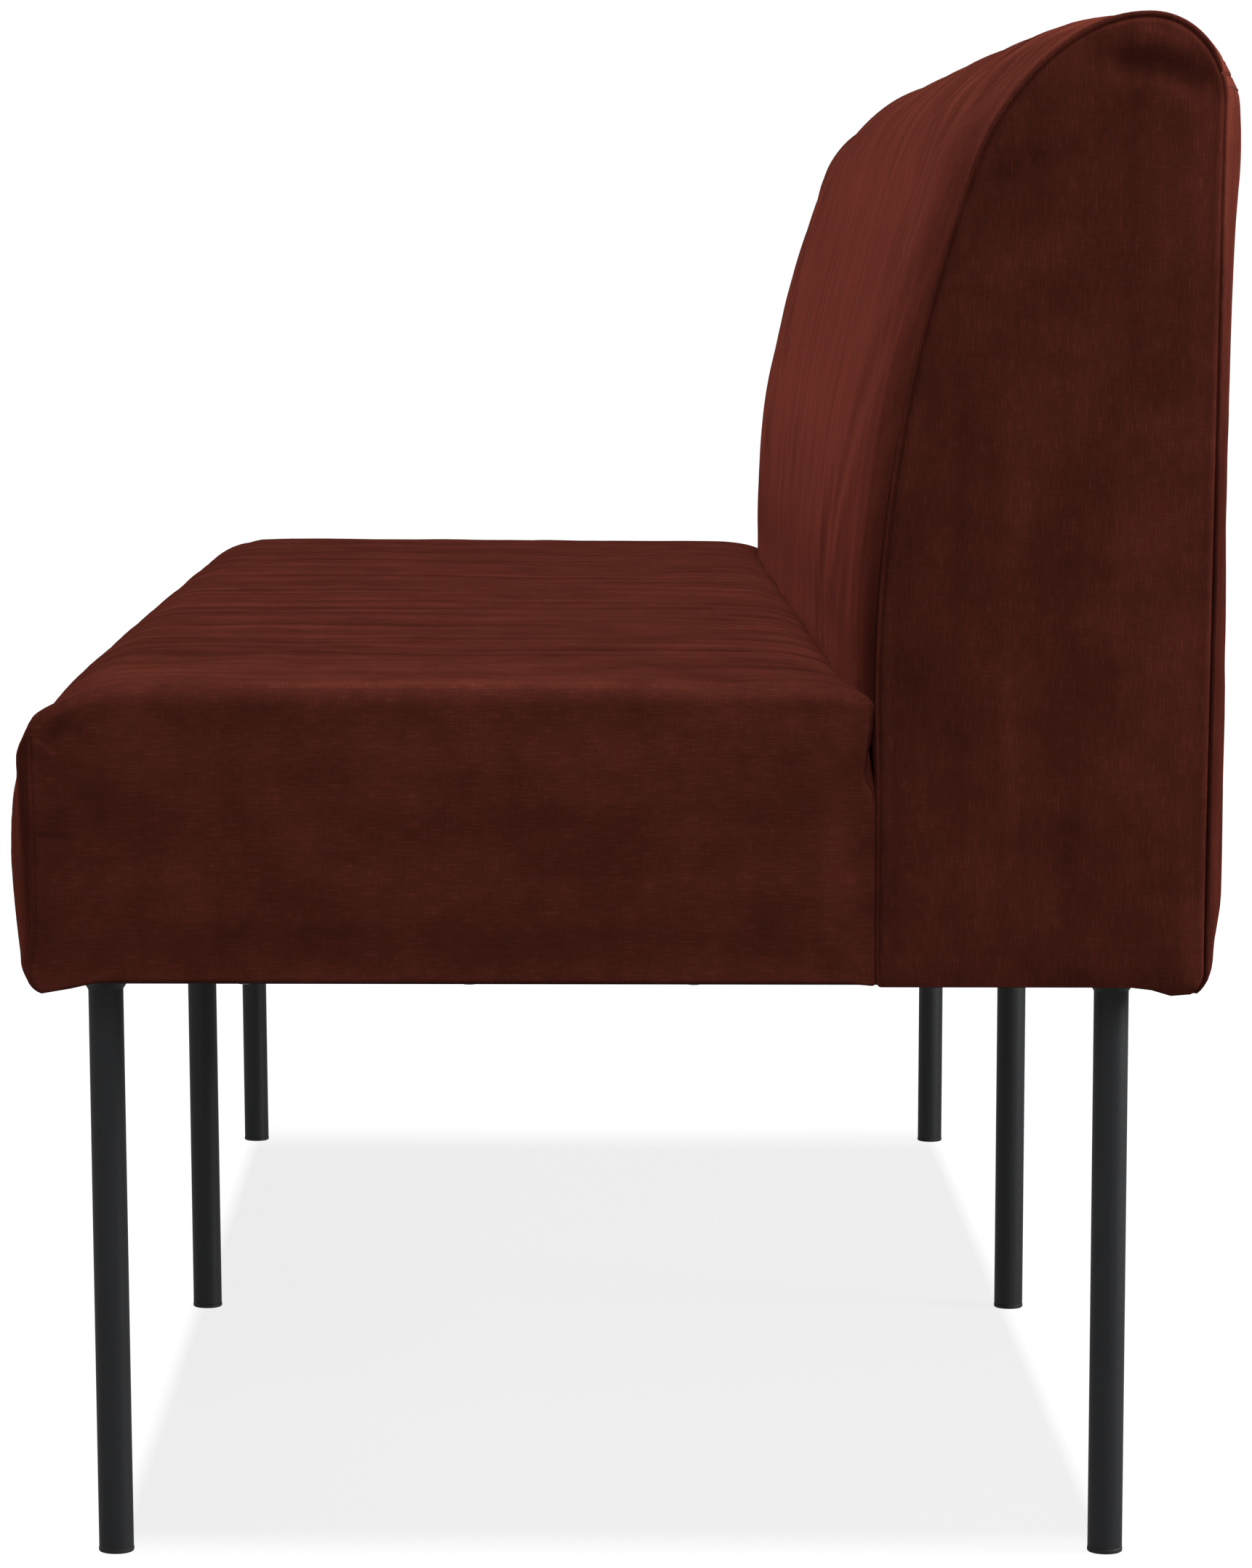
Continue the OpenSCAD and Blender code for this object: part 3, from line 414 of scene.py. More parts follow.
class Shell:
    """A closed upholstered body: rings round the bench's long axis and a triangulated face at each end.

    Every vertex keeps what the later shaping needs: q, its distance across the end seam, negative on the
    long panels, and column, its place along the outline, or -1 inside the end faces."""

    # Rings between the middle and the rounding, how much closer they lie near it, and rings round it
    STATIONS = 78
    BIAS = 1.7
    ROUND_STEPS = 8
    # Rings over the puffed band: share of its width, and millimetres more
    BAND_STEPS = ((0.3, 0.06), (0.6, 0.12), (0.85, 0.18), (1.0, 0.24))
    # Rings on the end face, in millimetres past the band
    FACE_STEPS = (0.35, 0.8, 1.4, 2.2, 3.2, 4.6, 6.6, 9.5, 13.5)
    # Least band that gets its own rings, and slack of the test for the end face
    LEAST_BAND = 0.1 * MM
    SEAM_SLACK = 0.2 * MM
    # Mesh width of the end face, and how far its inner points lie past the seam more than past the band
    GRID = 5 * MM
    INNER_Q = 5 * MM
    BULGE_RUN = 22 * MM
    BULGE_START = 32 * MM

    def __init__(self, name, half, edge_line, reach, radius, seam_at, bulge, medial, seamed):
        """reach(t) gives the outline at distance t from the ends; seam_at is the seam's distance past the
        start of the rounding; medial is the line that the end face's rings shrink to; seamed is 1 where
        the end face meets the long panel at a seam, and 0 where the cloth runs on."""
        n = len(edge_line)
        steps = self.face_steps(radius, seam_at)
        rings = self.long_rings(half, reach, radius, seam_at)
        rings += self.end_rings(half, reach(radius), self.towards(edge_line, medial), radius, seam_at,
                                steps, bulge, seamed)
        near = []
        for x, line, q in rings:
            near.append((np.column_stack((np.broadcast_to(x, n), line)), np.broadcast_to(q, n)))
        far = [(ring * (-1, 1, 1), q) for ring, q in reversed(near)]
        middle = (np.column_stack((np.zeros(n), reach(np.full(n, half)))), np.full(n, -half))
        every = far + [middle] + near
        self.co = np.concatenate([ring for ring, _ in every])
        self.q = np.concatenate([q for _, q in every])
        self.column = np.tile(np.arange(n), len(every))
        faces = self.ring_faces(n, len(every))
        past_seam = self.q > -self.SEAM_SLACK
        on_end = [past_seam[face[0]] and past_seam[face[2]] for face in faces]
        rim = near[-1][0][:, 1:]
        inner, flat_faces = self.fill(rim)
        distance, nearest = self.edge_distance(inner, rim)
        past = steps[-1][nearest] + distance
        depth = half + self.bulged(bulge, past, seamed[nearest])
        for side, rim_start in ((-1, 0), (1, (len(every) - 1) * n)):
            start = len(self.co)
            self.co = np.concatenate((self.co, np.column_stack((side * depth, inner))))
            self.q = np.concatenate((self.q, past + self.INNER_Q))
            self.column = np.concatenate((self.column, np.full(len(inner), -1)))
            for face in flat_faces:
                ids = [rim_start + i if i < n else start + i - n for i in face]
                faces.append(ids if side > 0 else ids[::-1])
                on_end.append(True)
        mesh = smooth_mesh(name, self.co.tolist(), faces)
        mesh.polygons.foreach_set("material_index", np.array(on_end, dtype=np.int32))
        mesh.update()
        self.obj = add_object(name, mesh)

    def face_steps(self, radius, seam_at):
        """Distances of the end face's rings past the rounding."""
        rest = np.maximum(seam_at - radius * math.pi / 2, 0)
        steps = [rest + gap * MM for gap in self.FACE_STEPS]
        if rest.max() > self.LEAST_BAND:
            steps = [rest * share + gap * MM for share, gap in self.BAND_STEPS] + steps
        return steps

    def long_rings(self, half, reach, radius, seam_at):
        """Rings from the middle to the rounding, as x, outline and distance across the seam."""
        rings = []
        for k in range(self.STATIONS - 1, 0, -1):
            t = (half - radius) * (k / self.STATIONS) ** self.BIAS
            rings.append((half - radius - t, reach(t + radius), -t - seam_at))
        return rings

    def end_rings(self, half, edge, inward, radius, seam_at, steps, bulge, seamed):
        """Rings round the rounding and on the end face, given in the same way."""
        rings = []
        for k in range(self.ROUND_STEPS + 1):
            turn = math.pi / 2 * k / self.ROUND_STEPS
            line = edge + inward * (radius * (1 - math.cos(turn)))[:, None]
            rings.append((half - radius + radius * math.sin(turn), line, radius * turn - seam_at))
        for past in steps:
            line = edge + inward * (radius + past)[:, None]
            x = half + self.bulged(bulge, past, seamed)
            rings.append((x, line, radius * math.pi / 2 + past - seam_at))
        return rings

    @staticmethod
    def ring_faces(n, rows):
        """Four-sided faces between neighbouring rings of n points."""
        a = np.arange(n)
        b = (a + 1) % n
        faces = []
        for low in range(0, (rows - 1) * n, n):
            high = low + n
            faces += np.column_stack((low + a, low + b, high + b, high + a)).tolist()
        return faces

    @staticmethod
    def towards(line, medial):
        """Unit vectors from an outline's points to the nearest point of the line inside it."""
        a, b = np.array(medial[0]), np.array(medial[1])
        span = b - a
        u = np.clip(((line - a) @ span) / (span @ span), 0, 1)
        aim = a + u[:, None] * span - line
        return aim / np.linalg.norm(aim, axis=1)[:, None]

    @classmethod
    def bulged(cls, bulge, past, seamed):
        """How far the end panel swells at a distance past its edge: softly at first where it isn't sewn."""
        gentle = seamed + (1 - seamed) * smooth(past / cls.BULGE_START)
        return bulge * (1 - np.exp(-past / cls.BULGE_RUN)) * gentle

    @staticmethod
    def edge_distance(points, line):
        """Distance of each point from a closed outline, and which stretch of it is nearest."""
        span = np.roll(line, -1, axis=0) - line
        offset = points[:, None] - line[None]
        share = np.clip((offset * span).sum(axis=2) / (span * span).sum(axis=1), 0, 1)
        apart = np.linalg.norm(offset - share[:, :, None] * span, axis=2)
        return apart.min(axis=1), apart.argmin(axis=1)

    def fill(self, line):
        """Triangles that close an outline, over an even grid of inner points."""
        low, high = line.min(axis=0), line.max(axis=0)
        ys = np.arange(low[0], high[0], self.GRID)
        zs = np.arange(low[1], high[1], self.GRID)
        grid = np.array([(y + self.GRID / 2 * (i % 2), z) for i, z in enumerate(zs) for y in ys])
        inside = np.zeros(len(grid), dtype=bool)
        after = np.roll(line, -1, axis=0)
        for (y0, z0), (y1, z1) in zip(line, after):
            crosses = (z0 > grid[:, 1]) != (z1 > grid[:, 1])
            if z0 != z1:
                inside ^= crosses & (grid[:, 0] < (y1 - y0) * (grid[:, 1] - z0) / (z1 - z0) + y0)
        grid = grid[inside]
        grid = grid[self.edge_distance(grid, line)[0] > self.GRID * 0.6]
        n = len(line)
        points = [Vector(p) for p in np.concatenate((line, grid))]
        verts, _, faces, origins, _, _ = delaunay_2d_cdt(points, [], [list(range(n))], 1, 1e-9)
        first = [min(o) for o in origins]
        return grid, [[first[i] for i in face] for face in faces]

    def on_rings(self, values):
        """Values of the outline's points at the vertices of the rings, and 0 inside the end faces."""
        return np.where(self.column >= 0, values[np.maximum(self.column, 0)], 0)

    def read(self):
        """Coordinates and normals as they stand."""
        mesh = self.obj.data
        mesh.update()
        normal = np.empty(len(mesh.vertices) * 3)
        mesh.vertex_normals.foreach_get("vector", normal)
        return mesh_points(mesh), normal.reshape(-1, 3)

    def write(self, co):
        self.obj.data.vertices.foreach_set("co", co.ravel())
        self.obj.data.update()


# Fine shape of the covers
def seam_relief(q, depth, width):
    """Height of the cover beside an end seam: a narrow valley between two softly puffed edges."""
    (end_at, end_reach), (long_at, long_reach) = END_PUFF, LONG_PUFF
    puffed = PUFF * depth * (bump(q - end_at, end_reach) + bump(q + long_at, long_reach))
    return puffed - depth * np.exp(-np.abs(q) / width)


def wave_room(q):
    """0 at an end seam and 1 well away from it, where the cloth may wave."""
    return 1 - np.exp(-np.abs(q) / SEAM_CALM)


def field(points, scale, seed, octaves=2):
    """Smooth noise from -1 to 1 at each point."""
    offset = Vector((seed * 3.7, seed * 1.9, seed * 7.3))
    values = []
    for p in points * np.array(scale):
        values.append(noise.fractal(Vector(p) + offset, 1.0, 2.0, octaves))
    return np.array(values)


def crease(co, start, end, width):
    """Weight of a soft crease in the end panel between two places, given as (y, z)."""
    a, b = np.array(start), np.array(end)
    span = b - a
    u = np.clip(((co[:, 1:] - a) @ span) / (span @ span), 0, 1)
    nearest = a + u[:, None] * span
    along = smooth(u / CREASE_FADE) * smooth((1 - u) / CREASE_FADE)
    weight = CREASE_LEAST + (1 - CREASE_LEAST) * along
    return bump(np.linalg.norm(co[:, 1:] - nearest, axis=1), width) * weight


def creases_depth(co, creases):
    """Depth of all the creases at each vertex."""
    return sum(depth * crease(co, start, end, width) for start, end, depth, width, _ in creases)


def from_ends(co, half):
    """How far each vertex lies inwards from the nearer end."""
    return np.maximum(half - np.abs(co[:, 0]), 0)


def low_down(co, height):
    """1 at the underside, and softly down to 0 at a height above it."""
    return fall(co[:, 2], UNDER_Z + height, height)


def lobe(co, half, y, drop, across, inwards):
    """How much lower a hem hangs round a place across the bench, near the ends."""
    return drop * bump(co[:, 1] - y, across) * bump(from_ends(co, half), inwards)


def hang_hems(co, half):
    """Lets the lower edges of the end panels hang straight, instead of turning in."""
    out = HANG_OUT * low_down(co, HANG_H) * bump(from_ends(co, half), HANG_REACH)
    co[:, 0] += np.sign(co[:, 0]) * out


# Cloth simulation of the covers
def place_tree(places):
    tree = KDTree(len(places))
    for i, place in enumerate(places):
        tree.insert(place, i)
    tree.balance()
    return tree


def carry(places, values, onto, count=4):
    """Values at new places, blended from those of the nearest given places."""
    tree = place_tree(places)
    carried = np.empty((len(onto), values.shape[1]))
    for k, place in enumerate(onto):
        found = tree.find_n(place, count)
        share = np.array([1 / (0.5 * MM + distance) for _, _, distance in found])
        carried[k] = share @ values[[i for _, i, _ in found]] / share.sum()
    return carried


def local_mean(places, values, reach):
    """Values averaged over a reach round each place, by way of every tenth place."""
    tree = place_tree(places)
    nodes = places[::10]
    means = np.array([values[[i for _, i, _ in tree.find_range(node, reach)]].mean(axis=0)
                      for node in nodes])
    return carry(nodes, means, places, 10)


def bottom_hold(z):
    """Weight that holds the cloth along the bottom, at each height."""
    return fall(z, UNDER_Z + HELD_H, HELD_FADE)


def coarse_copy(shell, grid):
    """A closed copy of a shell with an even mesh, to run as cloth."""
    copy = add_object("cloth_copy", shell.obj.data.copy())
    remesh = copy.modifiers.new("even_mesh", "REMESH")
    remesh.mode = "VOXEL"
    remesh.voxel_size = grid
    mesh = bpy.data.meshes.new_from_object(copy.evaluated_get(bpy.context.evaluated_depsgraph_get()))
    copy.modifiers.clear()
    copy.data = mesh
    return copy


def make_cloth(copy, cover):
    """Lets the copy move as cloth, held by its vertex group and pressed out by the padding."""
    cloth = copy.modifiers.new("cloth", "CLOTH")
    cloth.settings.vertex_group_mass = "held"
    cloth.settings.quality = 4
    cloth.settings.mass = 0.3
    cloth.settings.tension_stiffness = 15
    cloth.settings.compression_stiffness = 15
    cloth.settings.shear_stiffness = 5
    cloth.settings.bending_stiffness = 5
    cloth.settings.shrink_min = -cover.excess
    cloth.settings.use_pressure = True
    cloth.settings.uniform_pressure_force = cover.pressure
    cloth.settings.effector_weights.gravity = 0
    cloth.collision_settings.use_collision = False
    cloth.point_cache.frame_start = 1
    cloth.point_cache.frame_end = CLOTH_FRAMES


def fine_folds(places, move, cover):
    """The part of a movement that is finer than the folds' reach, brought to their usual height."""
    move = move - local_mean(places, move, cover.cloth_reach)
    far = np.linalg.norm(move, axis=1)
    usual = max(np.percentile(far, USUAL_PERCENT), cover.cloth_move)
    gain = cover.cloth_move / usual
    cap = MOST_FOLD * cover.cloth_move
    return move * (cap * np.tanh(gain * far / cap) / np.maximum(far, 1e-9))[:, None]


def settle(shell, held, cover):
    """Runs a coarser copy of the cover as cloth under the padding's pressure, held where held is 1, and
    carries its movement over to the cover."""
    scene = bpy.context.scene
    copy = coarse_copy(shell, cover.cloth_grid)
    rest = mesh_points(copy.data)
    fine, _ = shell.read()
    group = copy.vertex_groups.new(name="held")
    for i, weight in enumerate(carry(fine, held[:, None], rest)[:, 0]):
        group.add([i], float(min(weight, 1)), "REPLACE")
    make_cloth(copy, cover)
    for step in range(1, CLOTH_FRAMES + 1):
        scene.frame_set(step)
    settled = copy.evaluated_get(bpy.context.evaluated_depsgraph_get())
    move = mesh_points(settled.data) - rest
    bpy.data.objects.remove(copy)
    scene.frame_set(1)
    free = 1 - np.minimum(held, 1)
    shell.write(fine + carry(rest, fine_folds(rest, move, cover), fine) * free[:, None])


# Shader nodes
def new_material(name):
    material = bpy.data.materials.new(name)
    material.use_nodes = True
    tree = material.node_tree
    return material, tree, tree.nodes["Principled BSDF"]


def put(tree, node, inputs):
    """Sets a node's inputs, or links those that are given as sockets."""
    for key, value in inputs.items():
        if isinstance(value, bpy.types.NodeSocket):
            tree.links.new(value, node.inputs[key])
        else:
            node.inputs[key].default_value = value


def add(tree, kind, inputs=None, **settings):
    """A new node with its settings, and its inputs set or linked."""
    node = tree.nodes.new("ShaderNode" + kind)
    for key, value in settings.items():
        setattr(node, key, value)
    put(tree, node, inputs or {})
    return node


def vector_math(tree, operation, first, second):
    return add(tree, "VectorMath", {0: first, 1: second}, operation=operation)


def scaled(tree, vector, gain):
    return add(tree, "VectorMath", {0: vector, "Scale": gain}, operation="SCALE").outputs[0]


def times(tree, value, gain):
    return add(tree, "Math", {0: value, 1: gain}, operation="MULTIPLY").outputs[0]


def sum_of(tree, values):
    total = values[0]
    for value in values[1:]:
        total = add(tree, "Math", {0: total, 1: value}, operation="ADD").outputs[0]
    return total


def levels(tree, value, low, high, to_low=0.0, to_high=1.0):
    return add(tree, "MapRange", {"Value": value, "From Min": low, "From Max": high,
                                  "To Min": to_low, "To Max": to_high}).outputs["Result"]


def object_place(tree):
    return add(tree, "TexCoord").outputs["Object"]


def noise_value(tree, place, scale=1.0, detail=2.0, rough=0.5, **more):
    inputs = {"Vector": place, "Scale": scale, "Detail": detail, "Roughness": rough, **more}
    return add(tree, "TexNoise", inputs).outputs["Fac"]


def cloth_place(tree, across, along, across_scale, along_scale, seed):
    """Coordinates that follow the cloth: across and along its slubs, each with its own scale."""
    place = object_place(tree)
    u = times(tree, vector_math(tree, "DOT_PRODUCT", place, across).outputs["Value"], across_scale)
    v = times(tree, vector_math(tree, "DOT_PRODUCT", place, along).outputs["Value"], along_scale)
    return add(tree, "CombineXYZ", {0: u, 1: v, 2: float(seed)}).outputs[0]


def plain(tree, color):
    """A colour as a socket, to be tinted."""
    node = add(tree, "RGB")
    node.outputs[0].default_value = (*color, 1)
    return node.outputs[0]


def tint(tree, color, *tints):
    """The colour times values that run from low to high, each given as a factor, low and high."""
    for factor, low, high in tints:
        color = scaled(tree, color, levels(tree, factor, 0.0, 1.0, low, high))
    return color


def relief(tree, height, strength, distance):
    return add(tree, "Bump", {"Height": height, "Strength": strength, "Distance": distance}).outputs[0]


def painted_crease_shade(tree, place, start, end, width):
    """Weight of the painted shade at a place in a soft crease between two places given as (y, z): 1 in the
    middle of it, fading out towards its end."""
    a = Vector((0, *start))
    span = Vector((0, *end)) - a
    flat = vector_math(tree, "MULTIPLY", place, (0, 1, 1)).outputs[0]
    offset = vector_math(tree, "SUBTRACT", flat, a).outputs[0]
    share = vector_math(tree, "DOT_PRODUCT", offset, span / span.length_squared).outputs["Value"]
    fade = levels(tree, share, 1.15, 0.45)
    nearest = scaled(tree, span, levels(tree, share, 0.0, 1.0))
    apart = vector_math(tree, "DISTANCE", offset, nearest).outputs["Value"]
    return add(tree, "MapRange", {"Value": apart, "From Min": 0.0, "From Max": 1.9 * width, "To Min": fade,
                                  "To Max": 0.0}, interpolation_type="SMOOTHSTEP").outputs["Result"]


# Finishes
def velvet(name, across, along, streaks, sheen, brush_marks_and_painted_light=(0.4, 0.9, 1.0, 1.0), creases=()):
    """Velvet whose slubs run along one direction. streaks is how much its long soft bands differ and sheen
    the weight of its sheen. The argument after sheen paints light and shade by height: it gives two heights
    and the gain of the colour at each. The creases get painted shade in the colour."""
    cover = bpy.context.scene.bench_cover
    seed = cover.pile_seed
    material, tree, bsdf = new_material(name)
    place = object_place(tree)
    height = add(tree, "SeparateXYZ", {0: place}).outputs["Z"]
    blotch = levels(tree, noise_value(tree, place, 22.0, 4.0, 0.62), 0.34, 0.66)
    streak = cloth_place(tree, across, along, 34.0, 2.2, seed)
    streak = levels(tree, noise_value(tree, streak, 1.0, 4.0, 0.6), 0.32, 0.68)
    slub = cloth_place(tree, across, along, 1100.0, 90.0, seed + 3)
    slub = levels(tree, noise_value(tree, slub), 0.50, 0.80)
    weft = cloth_place(tree, along, across, 1100.0, 110.0, seed + 5)
    weft = levels(tree, noise_value(tree, weft), 0.52, 0.84)
    pile = noise_value(tree, place, 1700.0, 2.0, 0.6)
    # Colour with random blotches, painted light and shade by height, and random streaks
    shade = tint(tree, plain(tree, cover.velvet),
                 (blotch, 0.84, 1.16),
                 (levels(tree, height, brush_marks_and_painted_light[0], brush_marks_and_painted_light[1]), brush_marks_and_painted_light[2], brush_marks_and_painted_light[3]),
                 (streak, 1 - streaks, 1 + streaks))
    # Painted shade in the creases
    for start, end, _, width, painted_shade in creases:
        shade = tint(tree, shade, (painted_crease_shade(tree, place, start, end, width), 1.0, painted_shade))
    nap = sum_of(tree, [times(tree, pile, 0.55), times(tree, slub, 0.5), times(tree, weft, 0.25),
                        times(tree, blotch, 0.5)])
    put(tree, bsdf, {"Base Color": tint(tree, shade, (slub, 0.92, 1.34), (weft, 0.94, 1.22),
                                        (pile, 0.70, 1.30)),
                     "Normal": relief(tree, nap, 0.35, 0.4 * MM),
                     "Roughness": 0.92,
                     "Specular IOR Level": 0.0,
                     "Sheen Weight": sheen,
                     "Sheen Roughness": 0.30,
                     "Sheen Tint": (*cover.sheen, 1)})
    return material


def powder_coat(finishes):
    material, tree, bsdf = new_material("black_powder_coat")
    place = object_place(tree)
    grain = noise_value(tree, place, 900.0, 3.0, 0.6)
    cloud = noise_value(tree, place, 18.0, 3.0, 0.5)
    put(tree, bsdf, {"Base Color": tint(tree, plain(tree, finishes.coat), (cloud, 0.85, 1.2)),
                     "Roughness": levels(tree, grain, 0.3, 0.7, 0.36, 0.50),
                     "Normal": relief(tree, grain, 0.12, 0.2 * MM)})
    return material


def moulded_plastic(finishes):
    material, tree, bsdf = new_material("black_moulded_plastic")
    grain = noise_value(tree, object_place(tree), 2400.0, 2.0, 0.6)
    put(tree, bsdf, {"Base Color": tint(tree, plain(tree, finishes.plastic), (grain, 0.8, 1.2)),
                     "Roughness": levels(tree, grain, 0.3, 0.7, 0.5, 0.66),
                     "Normal": relief(tree, grain, 0.2, 0.1 * MM)})
    return material


def zinc_plate(finishes):
    material, tree, bsdf = new_material("zinc_plate")
    cloud = noise_value(tree, object_place(tree), 300.0)
    brush_marks_and_painted_light = noise_value(tree, cloth_place(tree, (1, 0.3, 0), (0, 0.2, 1), 2600.0, 240.0, 2))
    put(tree, bsdf, {"Base Color": tint(tree, plain(tree, finishes.zinc), (cloud, 0.8, 1.1)),
                     "Roughness": levels(tree, brush_marks_and_painted_light, 0.3, 0.7, 0.24, 0.42),
                     "Metallic": 1.0})
    return material


def frame_wood(finishes, name, across, along):
    material, tree, bsdf = new_material(name)
    rings = noise_value(tree, cloth_place(tree, across, along, 120.0, 3.0, 4), 1.0, 5.0, Distortion=1.2)
    pores = noise_value(tree, cloth_place(tree, across, along, 1400.0, 60.0, 9))
    put(tree, bsdf, {"Base Color": tint(tree, plain(tree, finishes.wood), (rings, 0.7, 1.25),
                                        (levels(tree, pores, 0.35, 0.5), 0.8, 1.0)),
                     "Normal": relief(tree, pores, 0.2, 0.2 * MM),
                     "Roughness": 0.6})
    return material


def fibre_board(finishes):
    material, tree, bsdf = new_material("fibre_board")
    fibres = noise_value(tree, object_place(tree), 800.0, 4.0, 0.7)
    put(tree, bsdf, {"Base Color": tint(tree, plain(tree, finishes.board), (fibres, 0.7, 1.3)),
                     "Normal": relief(tree, fibres, 0.15, 0.2 * MM),
                     "Roughness": 0.7})
    return material


def black_cloth(finishes, name, threads):
    """Non-woven or woven black cloth, with the given number of threads per metre."""
    material, tree, bsdf = new_material(name)
    lint = noise_value(tree, object_place(tree), 60.0, 4.0, 0.7)
    warp = noise_value(tree, cloth_place(tree, (1, 0, 0), (0, 1, 0), threads, threads / 6, 3))
    weft = noise_value(tree, cloth_place(tree, (0, 1, 0), (1, 0, 0), threads, threads / 6, 8))
    weave = sum_of(tree, [times(tree, warp, 0.5), times(tree, weft, 0.5)])
    put(tree, bsdf, {"Base Color": tint(tree, plain(tree, finishes.cloth), (weave, 0.5, 1.5),
                                        (lint, 0.8, 1.3)),
                     "Normal": relief(tree, weave, 0.4, 0.4 * MM),
                     "Roughness": 0.9,
                     "Specular IOR Level": 0.2})
    return material


def sewing_thread(finishes):
    material, tree, bsdf = new_material("sewing_thread")
    twist = noise_value(tree, object_place(tree), 3000.0, 1.0, 0.5)
    put(tree, bsdf, {"Base Color": tint(tree, plain(tree, finishes.thread), (twist, 0.6, 1.4)),
                     "Roughness": 0.55})
    return material


def pale_floor(stage):
    """A white floor that glows, with the bench's pale shadow painted into the glow that the camera sees,
    and giving back only a little light.
    """
    material, tree, bsdf = new_material("pale_floor")
    place = add(tree, "SeparateXYZ", {0: object_place(tree)})
    shade = 1.0
    for axis, start, full in SHADOW_EDGES:
        shade = times(tree, levels(tree, place.outputs[axis], start, full), shade)
    # The painted shadow in the glow that the camera sees
    seen = levels(tree, shade, 0.0, 1.0, 1.05, 0.83)
    path = add(tree, "LightPath").outputs["Is Camera Ray"]
    put(tree, bsdf, {"Base Color": (0.05, 0.05, 0.05, 1),
                     "Roughness": 1.0,
                     "Specular IOR Level": 0.0,
                     "Emission Color": (1, 1, 1, 1),
                     "Emission Strength": add(tree, "Mix", {"Factor": path, "A": stage.floor_light,
                                                            "B": seen}).outputs[0]})
    return material


# Operators
class BENCH_OT_seat(bpy.types.Operator):
    """Builds the velvet seat over its wooden box"""
    bl_idname = "bench.seat"
    bl_label = "Seat upholstery"

    # Radius of the end's edge at the front and below, and how much more it is at the rear
    END_R = 3 * MM
    REAR_MORE_R = 2 * MM
    # How far below the tuck that starts, the height it takes, and over how many points on each side the
    # radius is evened
    WIDEN_BELOW = 6 * MM
    WIDEN_RUN = 20 * MM
    EVENED = 4
    # How far before the backrest the cloth simulation holds the cover, and the fade of that hold
    JOINT_HOLD = 16 * MM
    JOINT_FADE = 10 * MM
    # Height over which the waves come in above the underside, their scale and choice, and the distance
    # past the seam over which the creases come in
    WAVE_H = 30 * MM
    WAVES = ((7, 7, 7), 1)
    CREASE_RUN = 2 * MM
    # The notch beside the backrest: depth, height above the tuck, and reach up, down, ahead and inwards
    NOTCH = (6 * MM, 8 * MM, 24 * MM, 8 * MM, 30 * MM, 22 * MM)
    # The ear at the front corner: how far it stands out, height, and reach up and down
    EAR = (4.3 * MM, 138 * MM, 26 * MM, 56 * MM)
    # Its tip: how far it stands out, height above the ear's, and reach; place and reach of both inwards
    TIP = (5.4 * MM, 15 * MM, 9 * MM)
    EAR_INSET = 15 * MM
    # The flare at the corner's foot: how far it stands out, height and reach inwards
    FLARE = (4 * MM, 30 * MM, 45 * MM)
    # Depth over which ear and flare fade towards the rear
    FRONT_RUN = 30 * MM
    # Height in which the hem hangs; how far behind the front its lobe lies; drop, reach across and reach
    # inwards of the lobe, and of the tab beside the backrest
    HEM_H = 26 * MM
    LOBE_BACK = 8 * MM
    LOBE = (7 * MM, 14 * MM, 22 * MM)
    TAB = (1.4 * MM, 7 * MM, 10 * MM)
    # The end's velvet starts this far before the seam, and the front's where faces look this much forward
    END_MARGIN = 4 * MM
    FRONT_FACING = 0.75

    def execute(self, context):
        size = context.scene.bench_seat
        cover = context.scene.bench_cover
        half = SEAT_HIGH.x - size.end_bulge
        front = SEAT_LOW.y + size.front_inset
        shell, seam = self.body(size, context.scene.bench_back.crown, half, front)
        settle(shell, self.held(shell, seam), cover)
        co, normal = shell.read()
        co += normal * self.relief(shell, seam, co, cover)[:, None]
        self.open_notch(co, half, size)
        self.push_ear(co, half, front)
        self.hang_corners(co, half, front)
        hang_hems(co, half)
        shell.write(co)
        self.add_velvet(shell, cover)
        finish_piece(shell.obj, ["seat_cover", "seat_foam", "seat_front_foam",
                                           "seat_end_foam_left", "seat_end_foam_right"])
        return {"FINISHED"}

    def body(self, size, push, half, front):
        """The seat's shell, and the weight of its end seams at each vertex: the front's alone is sewn."""
        top = UNDER_Z + size.edge_h
        end_line = seat_outline(size, front, front, size.corner_w, size.corner_h, top, 0.0,
                                size.corner_power)
        mid_line = seat_outline(size, front - size.front_crown, front - size.lower_crown, size.crest_w,
                                size.crest_h, top + size.crown, push)
        out = outward(end_line)
        facing_top = np.clip(out[:, 1], 0, 1) ** 4
        facing_front = np.clip(-out[:, 0], 0, 1) ** 2
        facing_rear = np.clip(out[:, 0], 0, 1) ** 2
        above_tuck = rise(end_line[:, 1], UNDER_Z + size.tuck_h - self.WIDEN_BELOW, self.WIDEN_RUN)
        radius = blend(self.END_R, size.fold_r, facing_top) + self.REAR_MORE_R * facing_rear * above_tuck
        radius = evened(radius, self.EVENED)
        run = blend(size.swell_run, size.top_swell_run, facing_top)

        def reach(t):
            return end_line + (mid_line - end_line) * swelling(t, run, half)[:, None]

        middle = size.edge_h / 2
        medial = ((front + middle, UNDER_Z + middle), (JOINT_Y - middle, UNDER_Z + middle))
        shell = Shell("seat_upholstery", half, end_line, reach, radius, radius * math.pi / 4,
                      size.end_bulge, medial, facing_front)
        return shell, shell.on_rings(facing_front)

    def held(self, shell, seam):
        """Weight that holds the cloth along its seams, its underside and the joint with the backrest."""
        return (seam * bump(shell.q, SEAM_HOLD) + bottom_hold(shell.co[:, 2])
                + rise(shell.co[:, 1], JOINT_Y - self.JOINT_HOLD, self.JOINT_FADE))

